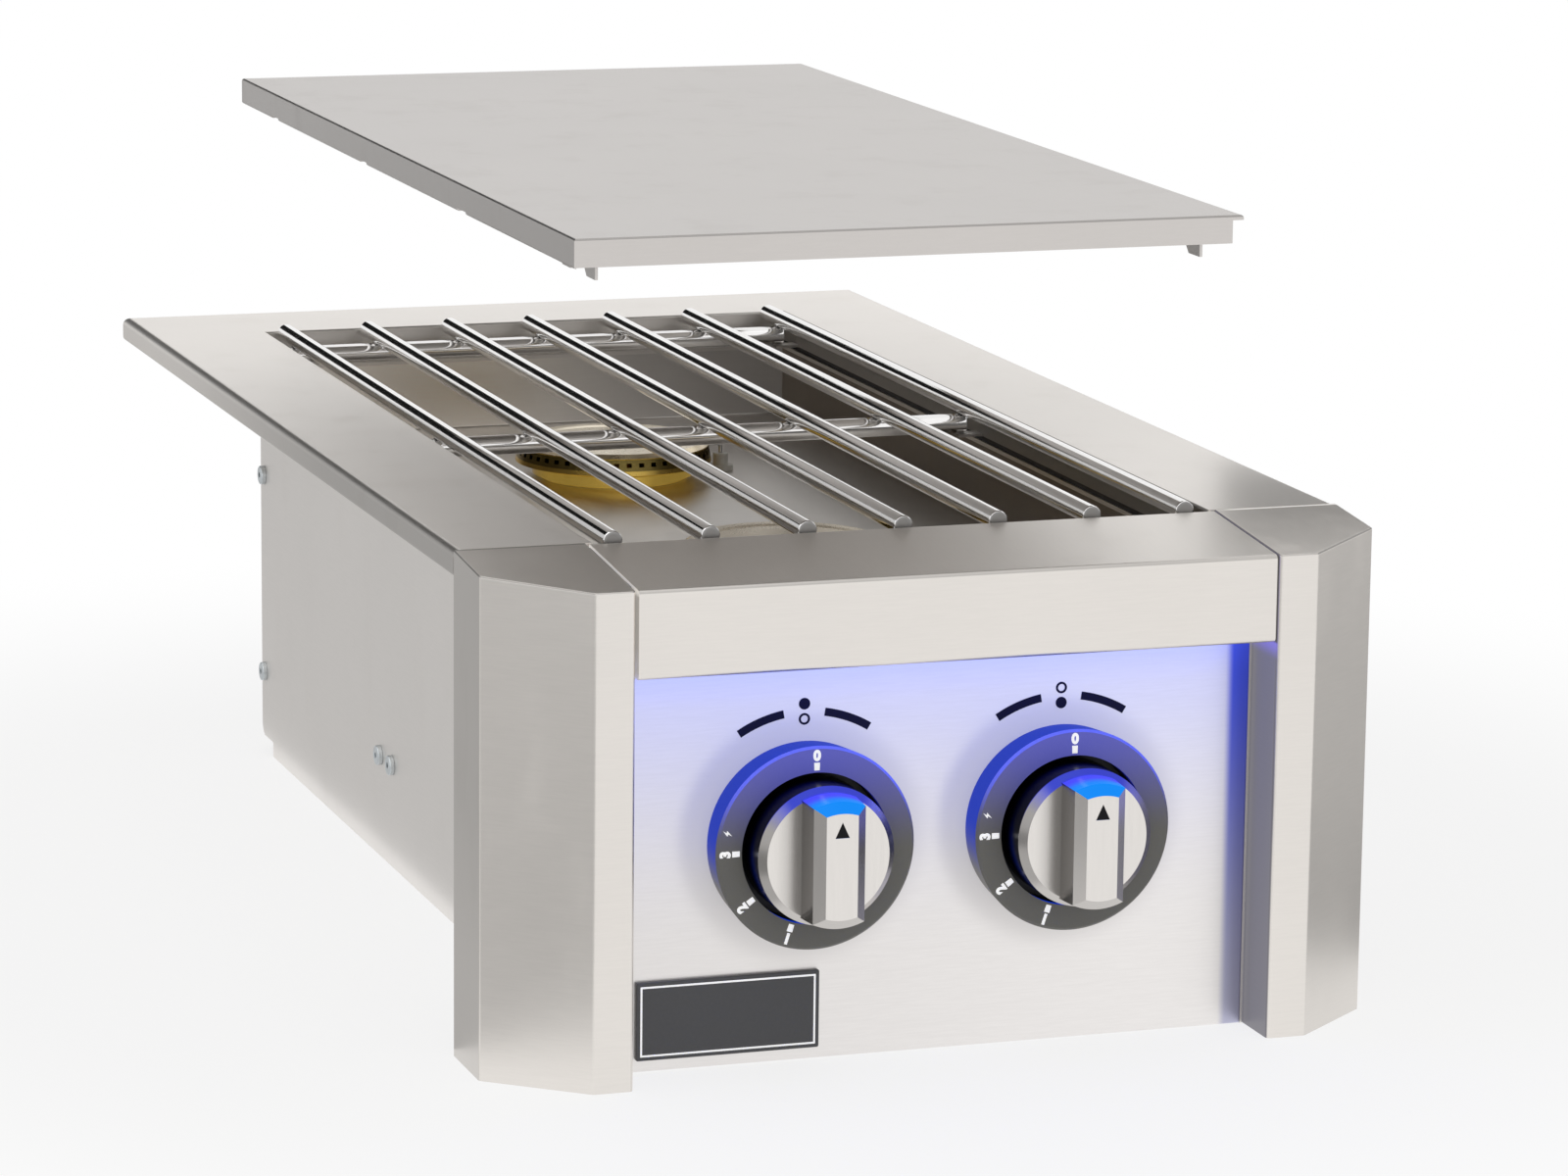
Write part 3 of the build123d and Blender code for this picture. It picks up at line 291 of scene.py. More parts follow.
class Finish:
    """A material, or the world, and the nodes that make it."""

    def __init__(self, name, owner=None):
        self.owner = owner or bpy.data.materials.new(name)
        self.owner.use_nodes = True
        self.tree = self.owner.node_tree
        self.tree.nodes.clear()

    def node(self, kind, settings=None, sockets=None, out=0):
        """New node with its settings and inputs, as the value of one of its outputs."""
        made = self.tree.nodes.new(kind)
        for name, value in (settings or {}).items():
            setattr(made, name, value)
        for key, value in (sockets or {}).items():
            if isinstance(value, Val):
                self.tree.links.new(value.socket, made.inputs[key])
            elif isinstance(value, tuple) and made.inputs[key].type == "RGBA":
                made.inputs[key].default_value = (*value, 1.0)
            else:
                made.inputs[key].default_value = value
        return Val(self, made.outputs[out]) if made.outputs else made

    def place(self):
        """Place on the piece, which moves with it."""
        return self.node("ShaderNodeTexCoord", out="Object")

    def facing(self):
        """Way that a surface faces in the world."""
        return self.axes(self.node("ShaderNodeNewGeometry", out="Normal"))

    def side(self):
        """Way that a surface faces on the piece, which turns with it."""
        return self.axes(self.node("ShaderNodeTexCoord", out="Normal"))

    def spread(self, vector, factors):
        """Coordinates stretched on each axis."""
        return self.node("ShaderNodeVectorMath", {"operation": "MULTIPLY"}, {0: vector, 1: factors})

    def axes(self, vector):
        """The three parts of a vector."""
        split = {0: vector}
        return [self.node("ShaderNodeSeparateXYZ", None, split, out=i) for i in range(3)]

    def noise(self, vector, scale, detail=3.0, roughness=0.6):
        sockets = {"Vector": vector, "Scale": scale, "Detail": detail, "Roughness": roughness}
        return self.node("ShaderNodeTexNoise", None, sockets)

    def step(self, value, low, high, start=0.0, end=1.0):
        """Smooth change from start to end as a value goes from low to high."""
        sockets = {0: value, 1: low, 2: high, 3: start, 4: end}
        return self.node("ShaderNodeMapRange", {"interpolation_type": "SMOOTHSTEP"}, sockets)

    def zone(self, *terms):
        """Part of a piece: a product of steps, each of what it goes by, where it is none and where all."""
        ways = self.axes(self.place()) + self.side()
        share = 1.0
        for way, none, whole in terms:
            share = share * self.step(ways[way], none, whole)
        return share

    def mix(self, share, first, second):
        """Two colours mixed."""
        return self.node("ShaderNodeMix", {"data_type": "RGBA"}, {0: share, 6: first, 7: second}, out=2)

    def zoned(self, base, zones):
        """A colour with zones, each its terms and its own colour."""
        for terms, colour in zones:
            base = self.mix(self.zone(*terms), base, colour)
        return base

    def bump(self, height, strength, distance):
        sockets = {"Strength": strength, "Distance": distance, "Height": height}
        return self.node("ShaderNodeBump", None, sockets)

    def surface(self, shader):
        self.node("ShaderNodeOutputMaterial", None, {"Surface": shader})
        return self.owner

    def coated(self, **sockets):
        """Finish the material as one Principled surface."""
        named = {key.replace("_", " "): value for key, value in sockets.items()}
        return self.surface(self.node("ShaderNodeBsdfPrincipled", None, named))


def tint(colour, factor):
    """A colour made lighter or darker."""
    return tuple(min(channel * factor, 1.0) for channel in colour)


def brushed_grain(f):
    """Fine brushing, level on upright sheets and lengthwise on flat ones."""
    def brushed(*scale):
        return f.noise(f.spread(f.place(), scale), 1.0, 5.0, 0.75)

    up = f.side()[2]
    flat = f.step(abs(up), 0.6, 0.8)
    upright = brushed(BRUSH_LONG, BRUSH_LONG, BRUSH_FINE)
    lengthwise = brushed(BRUSH_FINE, BRUSH_LONG, BRUSH_LONG)
    return flat * lengthwise + (1.0 - flat) * upright


def brushed_sheet(name, colour, roughness, zones=(), glows=()):
    """Brushed steel sheet. A zone is its terms and its own colour of painted shade or light, and a glow is
    painted light there.
    """
    f = Finish(name)
    grain = brushed_grain(f)
    cloud = f.noise(f.place(), CLOUDS, 3.0, 0.55)
    smear = f.step(f.noise(f.spread(f.place(), SMEARS), 1.0, 4.0), 0.5, 0.75)
    shade = f.step(0.6 * grain + 0.4 * cloud, 0.25, 0.75)

    def worn(plain):
        return f.mix(shade, tint(plain, 1.0 - SHEET_WEAR), tint(plain, 1.0 + SHEET_WEAR))

    return f.coated(
        Base_Color=f.zoned(worn(colour), [(terms, worn(other)) for terms, other in zones]),
        Metallic=1.0,
        Roughness=roughness - 0.05 + 0.12 * grain + 0.05 * smear,
        Normal=f.bump(grain, *BRUSH_BUMP),
        Emission_Color=f.zoned(NO_GLOW, glows),
        Emission_Strength=1.0,
    )


def sheet_finish(name, colour, zones, glows=()):
    """Steel sheet with painted shade on its folds, and zones of painted shade or light, each a share of its
    colour.
    """
    shaded = [(terms, tint(colour, share)) for terms, share in FOLDS + zones]
    return brushed_sheet(name, colour, SHEET_ROUGH, shaded, glows)


def beside_bezel(f, side):
    """Ring of the panel round a bezel."""
    low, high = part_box(side + "_bezel")
    centre = ((low[0] + high[0]) / 2, 0.0, (low[2] + high[2]) / 2)
    radius = (high[0] - low[0]) / 2
    flat = f.spread(f.place(), (1.0, 0.0, 1.0))
    away = f.node("ShaderNodeVectorMath", {"operation": "DISTANCE"}, {0: flat, 1: centre}, out="Value")
    return f.step(away, radius + RING_FROM, radius + RING_FULL)


def lit_panel(name):
    """Brushed sheet under the light. Its glow is painted light that fades downwards, with painted blue light
    along its right edge and rougher rings round the bezels, where painted light stands in for part of their
    reflection."""
    f = Finish(name)
    low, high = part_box("control_panel")
    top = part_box("light_lens")[0][2]
    x, _, z = f.axes(f.place())
    grain = brushed_grain(f)
    near = f.step(z, top - 0.020, top + 0.002)
    wide = f.step(z, low[2] + 0.012, top + 0.015)
    share = (GLOW_WIDE * wide * wide + GLOW_NEAR * near) * f.step(z, top + 0.006, top + 0.003)
    shade = f.step(grain, 0.25, 0.75)
    # painted shade, darker towards the left
    plain = f.mix(f.step(x, low[0], high[0]), f.mix(shade, *PANEL_LEFT), f.mix(shade, *PANEL_RIGHT))
    cool = f.mix(shade, *PANEL_LIT)
    # painted blue light along the right edge
    edge = f.step(x, high[0] - 0.0105, high[0] - 0.0065)
    band = f.mix(f.step(z, low[2], top), *PANEL_EDGE)
    ring = beside_bezel(f, "left") + beside_bezel(f, "right")
    # ring darkened towards black, with painted light in place of part of its reflection
    matt = RING_PAINTED_LIGHT * ring
    glow = f.mix(share, NO_GLOW, PANEL_GLOW)
    ring_glow = f.mix(share, PANEL_WARM, PANEL_COOL)
    return f.coated(
        Base_Color=f.mix(matt, f.mix(edge, f.mix(share, plain, cool), band), BLACK),
        Metallic=1.0,
        Roughness=0.28 + 0.12 * grain + RING_ROUGH * ring,
        Normal=f.bump(grain, *BRUSH_BUMP),
        Emission_Color=f.mix(matt, glow, ring_glow),
        Emission_Strength=1.0,
    )


def hazy_chrome(f):
    """Haze of a polished bar, and its colour under it."""
    haze = f.noise(f.place(), HAZE, 3.0)
    return haze, f.mix(haze, tint(CHROME, 0.94), tint(CHROME, 1.04))


def polished_bar(name):
    """Drawn and polished bar: faint turning marks, and painted shade on its grey, rougher ends."""
    f = Finish(name)
    rings = f.noise(f.spread(f.place(), (TURNED_LONG, TURNED_FINE, TURNED_LONG)), 1.0, 3.0)
    haze, clean = hazy_chrome(f)
    end = f.zone((FACE_Y, -0.6, -0.8))
    return f.coated(
        Base_Color=f.mix(end, clean, SHADED_BAR_END),
        Metallic=1.0,
        Roughness=0.05 + 0.05 * haze + 0.03 * rings + 0.3 * end,
        Normal=f.bump(rings, *TURNED_BUMP),
    )


def polished_rod(name):
    """Drawn and polished rod, with painted light on its front from the tray in front of it."""
    f = Finish(name)
    rings = f.noise(f.spread(f.place(), (TURNED_FINE, TURNED_LONG, TURNED_LONG)), 1.0, 3.0)
    haze, clean = hazy_chrome(f)
    lit = [(FACE_Y, -0.55, -0.85), (FACE_Z, -0.5, -0.2)]
    return f.coated(
        Base_Color=clean,
        Metallic=1.0,
        Roughness=0.06 + 0.05 * haze + 0.03 * rings,
        Normal=f.bump(rings, *TURNED_BUMP),
        Emission_Color=f.zoned(NO_GLOW, [(lit, ROD_GLOW)]),
        Emission_Strength=1.0,
    )


def satin_knob(name, side):
    """Satin die casting with painted shade: darker flanks and underside, the grip's shade on the disc and a
    black wall behind the disc.
    Painted blue light lies on what faces up and on the right flank.
    """
    f = Finish(name)
    low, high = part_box(side + "_knob")
    axis = (low[0] + high[0]) / 2
    middle = (low[2] + high[2]) / 2
    height = f.axes(f.node("ShaderNodeNewGeometry", out="Position"))[2]
    grain = f.noise(f.spread(f.place(), KNOB_GRAIN), 1.0, 4.0, 0.7)
    x, _, z = f.facing()
    right = f.step(x, 0.40, 0.60)
    up = f.step(z, 0.30, 0.60)

    def deeper(depths):
        return Y, low[1] + depths[0], low[1] + depths[1]

    plate = f.zone(deeper(DISC_FRONT))
    behind = f.zone(deeper(DISC_BACK))
    lit = up * (1.0 - behind)
    base = f.mix(grain, tint(SATIN, 0.95), tint(SATIN, 1.05))
    shade = f.zone((X, axis - 0.023, axis - 0.009), (X, axis, axis - 0.005), deeper(DISC_SHADE))
    base = f.mix(shade, base, tint(SATIN, 0.55))
    base = f.mix(f.step(x, -0.40, -0.60), base, f.mix(plate, tint(SATIN, 0.72), tint(SATIN, 0.48)))
    base = f.mix(f.step(x, -0.80, -0.95), base, tint(SATIN, 0.32))
    base = f.mix(right, base, KNOB_RIGHT_SHADE)
    base = f.mix(f.step(z, -0.40, -0.60), base, tint(SATIN, 0.72))
    base = f.mix(up, base, KNOB_TOP_UNDER_GLOW)
    glow = f.mix(plate, f.mix(f.zone(deeper(GRIP_FADE)), AZURE, VIOLET), RIM_BLUE)
    flank = right * f.step(height, middle + 0.004, middle + 0.022) * (1.0 - behind)
    return f.coated(
        Base_Color=f.mix(behind, base, BLACK),
        Metallic=1.0,
        Roughness=0.20 + 0.10 * grain,
        Normal=f.bump(grain, *KNOB_BUMP),
        Emission_Color=f.mix(lit, f.mix(flank, NO_GLOW, FLANK_GLOW), glow),
        Emission_Strength=KNOB_SHINE,
    )


def graphite_bezel(name):
    """Dark enamel, with painted light from the light over it on its upper half, its rim and its front edge;
    the rim is nearly black under it.
    """
    f = Finish(name)
    low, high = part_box("left_bezel")
    middle = (low[2] + high[2]) / 2
    pebble = f.noise(f.place(), PEBBLES, 2.0)
    lit = f.zone((Z, middle - 0.004, high[2] + 0.004))
    _, y, z = f.facing()
    rim = f.step(y, -0.70, -0.40) * f.step(z, -0.45, 0.15)
    edge = f.step(z, 0.10, 0.50) * f.step(y, -0.30, -0.55)
    glow = f.mix(rim, f.mix(lit, NO_GLOW, BEZEL_FACE_GLOW), BEZEL_RIM_GLOW)
    plain = f.mix(pebble, tint(GRAPHITE, 0.92), tint(GRAPHITE, 1.10))
    return f.coated(
        Base_Color=f.mix(rim, plain, BEZEL_RIM),
        Roughness=0.36 + 0.12 * pebble + 0.3 * rim,
        Specular_IOR_Level=0.3,
        Normal=f.bump(pebble, *PEBBLE_BUMP),
        Emission_Color=f.mix(edge, glow, BEZEL_EDGE_GLOW),
        Emission_Strength=BEZEL_SHINE,
    )


def enamel(name, colour, roughness, shine=0.5, glow=0.0):
    """Plastic, print or paint with a fine grain, and a painted glow of its own colour when glow is given."""
    f = Finish(name)
    grain = f.noise(f.place(), ENAMEL_GRIT, 3.0)
    return f.coated(
        Base_Color=f.mix(grain, tint(colour, 0.9), tint(colour, 1.1)),
        Roughness=roughness - 0.05 + 0.1 * grain,
        Specular_IOR_Level=shine,
        Normal=f.bump(grain, *ENAMEL_BUMP),
        Emission_Color=colour,
        Emission_Strength=glow,
    )


def cast_brass(name, colour, roughness, zones=(), glows=()):
    """Turned brass, a little dull in patches, with zones of painted light and shade and painted glows, as
    for sheet.
    """
    f = Finish(name)
    patches = f.noise(f.place(), BRASS_PATCHES, 4.0)
    grit = f.noise(f.place(), BRASS_GRIT, 2.0)
    dull = f.step(patches, 0.45, 0.7)
    base = f.mix(dull, colour, tint(colour, 0.90))
    return f.coated(
        Base_Color=f.zoned(base, [(terms, f.mix(dull, other, tint(other, 0.92))) for terms, other in zones]),
        Metallic=1.0,
        Roughness=roughness + 0.05 * dull + 0.03 * grit,
        Normal=f.bump(grit, *BRASS_BUMP),
        Emission_Color=f.zoned(NO_GLOW, glows),
        Emission_Strength=1.0,
    )


def zinc(name, colour, roughness):
    """Plated or drawn metal with a spangle."""
    f = Finish(name)
    spangle = f.node("ShaderNodeTexVoronoi", None, {"Vector": f.place(), "Scale": SPANGLE})
    grit = f.noise(f.place(), ZINC_GRIT, 2.0)
    return f.coated(
        Base_Color=f.mix(f.step(spangle, 0.1, 0.7), tint(colour, 0.9), tint(colour, 1.08)),
        Metallic=1.0,
        Roughness=roughness + 0.08 * grit,
        Normal=f.bump(grit, *ZINC_BUMP),
    )


def glowing_lens(name):
    """Lens that shines downwards only."""
    f = Finish(name)
    diodes = f.noise(f.spread(f.place(), DIODES), 1.0, 1.0)
    under = f.zone(UNDERSIDE)
    return f.coated(
        Base_Color=f.mix(under, LENS_BACK, f.mix(diodes, *LENS_CLEAR)),
        Roughness=0.3 + 0.1 * diodes,
        Emission_Color=f.mix(under, NO_GLOW, f.mix(diodes, LED_BLUE, tint(LED_BLUE, 1.2))),
        Emission_Strength=LENS_SHINE,
    )


def deck_steel():
    """Deck with painted shade: its left side darker to the front, and shade on its left skirt and its
    opening's right flange.
    """
    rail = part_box("burner_well")[0][0]
    left = (X, rail + 0.01, rail - 0.01)
    skirt = [left, LEFTWARD]
    flange = [(X, 0.0, 0.05), LEFTWARD]
    back = (Y, -0.10, 0.30)
    return sheet_finish("deck_steel", STEEL, [
        ([left, (Y, 0.30, -0.05), LEVEL], 0.82),
        (skirt, 0.58),
        (skirt + [back], 0.98),
        (flange, 0.32),
        (flange + [back], 0.50),
        ([(X, 0.10, 0.13), (Y, 0.25, 0.0), (Y, -0.20, -0.05), LEVEL], 0.92),
    ])


def column_steel():
    """Both columns: painted shade on the left one, and painted light from the panel on the right one's inner
    side.
    """
    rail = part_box("burner_well")[0][0]
    left = (X, rail + 0.01, rail)
    outer = (FACE_X, -0.9, -0.97)
    low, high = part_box("right_column")
    inner = low[0]
    seam = high[1]
    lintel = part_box("header")[0][2]
    side = [(X, inner - 0.010, inner), (FACE_X, -0.7, -0.95)]
    right = (X, inner, inner + 0.01)
    return sheet_finish("column_steel", STEEL, [
        ([left, LEVEL], 0.80),
        ([left, (Y, seam - 0.0016, seam - 0.0009), UPPER_BEND], 0.45),
        ([left, outer], 0.68),
        ([left, outer, (Z, 0.12, 0.03)], 0.80),
        ([(FACE_X, 0.25, 0.35), (FACE_Y, -0.5, -0.8), (Z, 0.11, 0.03)], 0.90),
        (side, 0.04),
    ], [
        (side, COLUMN_SIDE_GLOW),
        (side + [(Z, lintel - 0.008, lintel - 0.001)], COLUMN_TOP_GLOW),
        (side + [(Z, lintel - 0.001, lintel)], COLUMN_JOINT_GLOW),
        ([right, (Y, seam - 0.0020, seam - 0.0013), UPPER_BEND], COLUMN_SEAM_GLOW),
    ])


def header_steel():
    """Header, with painted light on its end in the seam beside the column."""
    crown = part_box("header")[1][2]
    end = [(FACE_X, -0.8, -0.95)]
    return sheet_finish("header_steel", STEEL, [], [
        (end, HEADER_END_GLOW),
        (end + [(Z, crown - 0.0085, crown - 0.0070)], HEADER_CROWN_GLOW),
    ])


def casing_steel():
    """Casing panels, with painted shade inside."""
    # painted shade inside the panels
    dark = tint(STEEL, 0.03)
    return brushed_sheet("casing_steel", CASING_STEEL, 0.40, [
        ([(X, -0.01, 0.01), (FACE_X, -0.5, -0.8)], dark),
        ([(X, 0.01, -0.01), (FACE_X, 0.5, 0.8)], dark),
    ])


def lid_steel():
    """Lid with painted light and shade: front skirt lighter and left skirt darker than its top."""
    return sheet_finish("lid_steel", LID_STEEL, [
        ([(FACE_Y, -0.9, -0.97)], 1.20),
        ([LEFTWARD], 0.84),
    ])


def well_steel():
    """Burner tray with painted shade: each wall has its own shade, a painted highlight runs along its rim,
    and painted light lifts its rear wall.
    """
    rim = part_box("burner_well")[1][2]
    right = (X, -0.03, 0.06)
    return brushed_sheet("well_steel", SHADED_WELL_STEEL, 0.30, [
        ([(FACE_Z, 0.6, 0.9)], WELL_FLOOR),
        ([FORWARD], WELL_REAR),
        ([FORWARD, right], WELL_REAR_RIGHT),
        ([(FACE_X, -0.6, -0.9)], WELL_RIGHT),
        ([(Z, rim - 0.0020, rim - 0.0016), (FACE_Z, 0.9, 0.6)], WELL_RIM_HIGHLIGHT),
    ], [
        ([FORWARD], WELL_REAR_GLOW),
        ([FORWARD, right], WELL_REAR_RIGHT_GLOW),
    ])


def burner_finishes():
    """Brass of the burners' bases, heads and caps: painted light on the bases' fronts and the caps' tops,
    painted shade on the heads' upper walls.
    """
    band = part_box("rear_burner_head")[0][2]
    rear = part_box("rear_burner_cap")[0][1]
    lit = [(FACE_Y, 0.3, -0.5)]
    return {
        "burner_base": cast_brass("burner_brass", BRASS, 0.20, glows=[(lit, BRASS_GLOW)]),
        "burner_head": cast_brass("head_brass", BRASS, 0.22, [
            ([(Z, band + 0.0030, band + 0.0034)], HEAD_BAND),
        ]),
        "burner_cap": cast_brass("cap_brass", BRASS, 0.26, [
            ([CAP_TOP], PALE_BRASS),
            ([CAP_TOP, (Y, rear - 0.01, rear)], BRIGHT_BRASS),
        ]),
    }


def dress():
    """Give every piece of the frame the finish with the longest key that its name holds."""
    casing = casing_steel()
    fitting = cast_brass("fitting_brass", FITTING_BRASS, 0.30)
    pipe = zinc("pipe_metal", PIPE_GREY, 0.32)
    black = enamel("black_plastic", BLACK, 0.42)
    finishes = {
        "deck": deck_steel(), "column": column_steel(), "header": header_steel(),
        "control_panel": lit_panel("lit_panel"), "lid": lid_steel(),
        "panel": casing, "base_pan": casing, "cross_brace": casing, "burner_well": well_steel(),
        "gas_manifold": pipe, "gas_inlet_pipe": pipe, "mixer_tube": pipe, "valve_stem": pipe,
        "stem_spring": pipe, "electrode": pipe, "panel_screws": zinc("zinc_screw", ZINC, 0.28),
        "grate": polished_bar("polished_bar"), "grate_rod": polished_rod("polished_rod"),
        "light_housing": black, "light_lens": glowing_lens("light_lens"),
        "badge_plate": enamel("plate_grey", PLATE_GREY, 0.4),
        "bezel": graphite_bezel("graphite_bezel"), "bezel_cup": black,
        "left_knob": satin_knob("left_satin", "left"), "right_knob": satin_knob("right_satin", "right"),
        "valve_plug": fitting, "valve_body": fitting, "orifice": fitting, "gas_inlet_fitting": fitting,
        "insulator": enamel("ceramic", CERAMIC, 0.25), "spark_module": black,
        "igniter_leads": enamel("silicone_lead", LEAD_RED, 0.5),
        **burner_finishes(),
    }
    for name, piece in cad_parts.items():
        key = max((key for key in finishes if key in name), key=len)
        for slot in piece.material_slots:
            slot.material = finishes[key]


def new_piece(name, mesh, finish, body):
    """Piece of the object that moves with a body."""
    piece = bpy.data.objects.new(name, mesh)
    bpy.context.scene.collection.objects.link(piece)
    mesh.materials.append(finish)
    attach(piece, body)
    return piece


def printed(outlines, back, front):
    """Thin print or inlay that looks to the front, from closed outlines of (x, z) points."""
    mesh = bpy.data.meshes.new("print")
    form = bmesh.new()
    for outline in outlines:
        rings = [[form.verts.new((x, y, z)) for x, z in outline] for y in (back, front)]
        form.faces.new(rings[1])
        form.faces.new(rings[0][::-1])
        for i in range(len(outline)):
            form.faces.new((rings[0][i - 1], rings[0][i], rings[1][i], rings[1][i - 1]))
    bmesh.ops.recalc_face_normals(form, faces=form.faces[:])
    form.to_mesh(mesh)
    form.free()
    return mesh


def print_on(outlines, face):
    """Print on a face that looks to the front."""
    return printed(outlines, face + MARK_SUNK, face - MARK_THICK)


def around(centre, radius, turn):
    """Point at a radius from a dial's axis, turned to the left from its top."""
    angle = math.radians(turn)
    return centre[0] - radius * math.sin(angle), centre[1] + radius * math.cos(angle)


def arc_band(centre, inner, outer, start, end, steps=24):
    """Outline of a band round a dial's axis."""
    turns = [start + (end - start) * i / steps for i in range(steps + 1)]
    return [around(centre, outer, t) for t in turns] + [around(centre, inner, t) for t in reversed(turns)]


def disc(centre, radius, steps=32):
    """Outline of a disc."""
    return [around(centre, radius, 360.0 * i / steps) for i in range(steps)]


def ring_halves(centre, inner, outer):
    """Outlines of a ring, as two halves."""
    return [arc_band(centre, inner, outer, 0.0, 180.0), arc_band(centre, inner, outer, 180.0, 360.0)]


def numeral(sign, centre, turn, front):
    """Mesh of a plain numeral that stands on the dial with its top outwards."""
    curve = bpy.data.curves.new("numeral", "FONT")
    curve.body = sign
    curve.align_x = "CENTER"
    curve.offset = NUMERAL_BOLD
    curve.extrude = (MARK_THICK + MARK_SUNK) / 2
    drawn = bpy.data.objects.new("numeral", curve)
    bpy.context.scene.collection.objects.link(drawn)
    bpy.context.view_layer.update()
    mesh = bpy.data.meshes.new_from_object(drawn)
    bpy.data.objects.remove(drawn)
    heights = [v.co.y for v in mesh.vertices]
    grow = NUMERAL_HEIGHT / (max(heights) - min(heights))
    foot = min(heights)
    middle = (MARK_SUNK - MARK_THICK) / 2
    for vertex in mesh.vertices:
        along = vertex.co.x * grow
        radius = NUMERAL_RADIUS + (vertex.co.y - foot) * grow
        x, z = around((0.0, 0.0), radius, turn)
        angle = math.radians(turn)
        vertex.co = (
            centre[0] + x + along * math.cos(angle),
            front + middle - vertex.co.z,
            centre[1] + z + along * math.sin(angle),
        )
    return mesh


def spark_sign(centre, turn):
    """Small zigzag of a spark beside a setting, drawn in millimetres."""
    shape = [(0.7, 2.0), (-1.1, -0.2), (-0.1, -0.2), (-0.7, -2.0), (1.1, 0.4), (0.1, 0.4)]
    angle = math.radians(turn)
    x0, z0 = around(centre, NUMERAL_RADIUS + NUMERAL_HEIGHT / 2, turn)
    outline = []
    for x, z in shape:
        along = x0 + (x * math.cos(angle) - z * math.sin(angle)) / 1000.0
        up = z0 + (x * math.sin(angle) + z * math.cos(angle)) / 1000.0
        outline.append((along, up))
    return outline


def dial_marks(side, filled, white, navy, black):
    """Settings, label and pointer of one dial."""
    low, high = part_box(side + "_bezel")
    centre = ((low[0] + high[0]) / 2, (low[2] + high[2]) / 2)
    ticks = []
    for sign, turn in SETTINGS:
        half = math.degrees(TICK_WIDTH / 2 / TICK_INNER)
        ticks.append(arc_band(centre, TICK_INNER, TICK_OUTER, turn - half, turn + half, 1))
        name = "%s_numeral_%s" % (side, sign)
        new_piece(name, numeral(sign, centre, turn, low[1]), white, "burner_unit")
    ticks.append(spark_sign(centre, SPARK_TURN))
    new_piece(side + "_ticks", print_on(ticks, low[1]), white, "burner_unit")
    label = []
    for sign in (-1, 1):
        inner = LABEL_RADIUS - LABEL_BAND / 2
        label.append(arc_band(centre, inner, inner + LABEL_BAND, sign * LABEL_FROM, sign * LABEL_TO))
    for step, place in ((1, "rear"), (-1, "front")):
        spot = (centre[0], centre[1] + LABEL_RADIUS + step * LABEL_STEP)
        if place == filled:
            label.append(disc(spot, LABEL_DISC))
        else:
            label += ring_halves(spot, LABEL_DISC * LABEL_HOLE, LABEL_DISC)
    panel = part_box("control_panel")[0][1]
    new_piece(side + "_label", print_on(label, panel), navy, "burner_unit")
    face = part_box(side + "_knob")[0][1]
    x, z = centre
    foot = z + POINTER_FOOT
    pointer = [(x, z + POINTER_TIP), (x - POINTER_HALF, foot), (x + POINTER_HALF, foot)]
    inlay = printed([pointer], face + POINTER_BACK, face + POINTER_FRONT)
    new_piece(side + "_pointer", inlay, black, side + "_dial")


def coil(centre, radius, start, end):
    """Mesh of round wire wound along Y."""
    mesh = bpy.data.meshes.new("coil")
    form = bmesh.new()
    count = SPRING_TURNS * SPRING_STEPS
    half = SPRING_WIRE / 2
    rings = []
    for i in range(count + 1):
        angle = 2 * math.pi * i / SPRING_STEPS
        along = start + half + (end - start - SPRING_WIRE) * i / count
        ring = []
        for side in range(WIRE_SIDES):
            turn = 2 * math.pi * side / WIRE_SIDES
            out = radius + half * math.cos(turn)
            x = centre[0] + out * math.cos(angle)
            z = centre[1] + out * math.sin(angle)
            ring.append(form.verts.new((x, along + half * math.sin(turn), z)))
        rings.append(ring)
    for first, second in zip(rings, rings[1:]):
        for i in range(WIRE_SIDES):
            form.faces.new((first[i - 1], first[i], second[i], second[i - 1]))
    form.faces.new(rings[0])
    form.faces.new(rings[-1])
    bmesh.ops.recalc_face_normals(form, faces=form.faces[:])
    form.to_mesh(mesh)
    form.free()
    mesh.shade_smooth()
    return mesh


def return_spring(side, finish):
    """Coiled spring in a valve, in place of its plain sleeve. It moves with the valve; the knob doesn't
    squeeze it here.
    """
    low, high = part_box(side + "_stem_spring")
    x, z = (low[0] + high[0]) / 2, (low[2] + high[2]) / 2
    radius = (high[0] - low[0] - SPRING_WIRE) / 2
    wound = coil((x, z), radius, low[1], high[1])
    spring = new_piece(side + "_coil", wound, finish, side + "_valve")
    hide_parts(side + "_stem_spring")
    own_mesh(spring)


def plate_line(white):
    """White line inside the edge of the bare plate."""
    low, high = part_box("badge_plate")
    x0, x1 = low[0] + PLATE_INSET, high[0] - PLATE_INSET
    z0, z1 = low[2] + PLATE_INSET, high[2] - PLATE_INSET
    w = PLATE_LINE
    bars = [
        (x0, x1, z0, z0 + w),
        (x0, x1, z1 - w, z1),
        (x0, x0 + w, z0 + w, z1 - w),
        (x1 - w, x1, z0 + w, z1 - w),
    ]
    outlines = [[(a, c), (b, c), (b, d), (a, d)] for a, b, c, d in bars]
    new_piece("plate_line", print_on(outlines, low[1]), white, "burner_unit")


def mirrored(f):
    """Where mirrors and glass, not the camera, see a surface."""
    glossy = f.node("ShaderNodeLightPath", out="Is Glossy Ray")
    return glossy + f.node("ShaderNodeLightPath", out="Is Transmission Ray")


def in_view(f):
    """Where the camera sees a surface."""
    return f.node("ShaderNodeLightPath", out="Is Camera Ray")


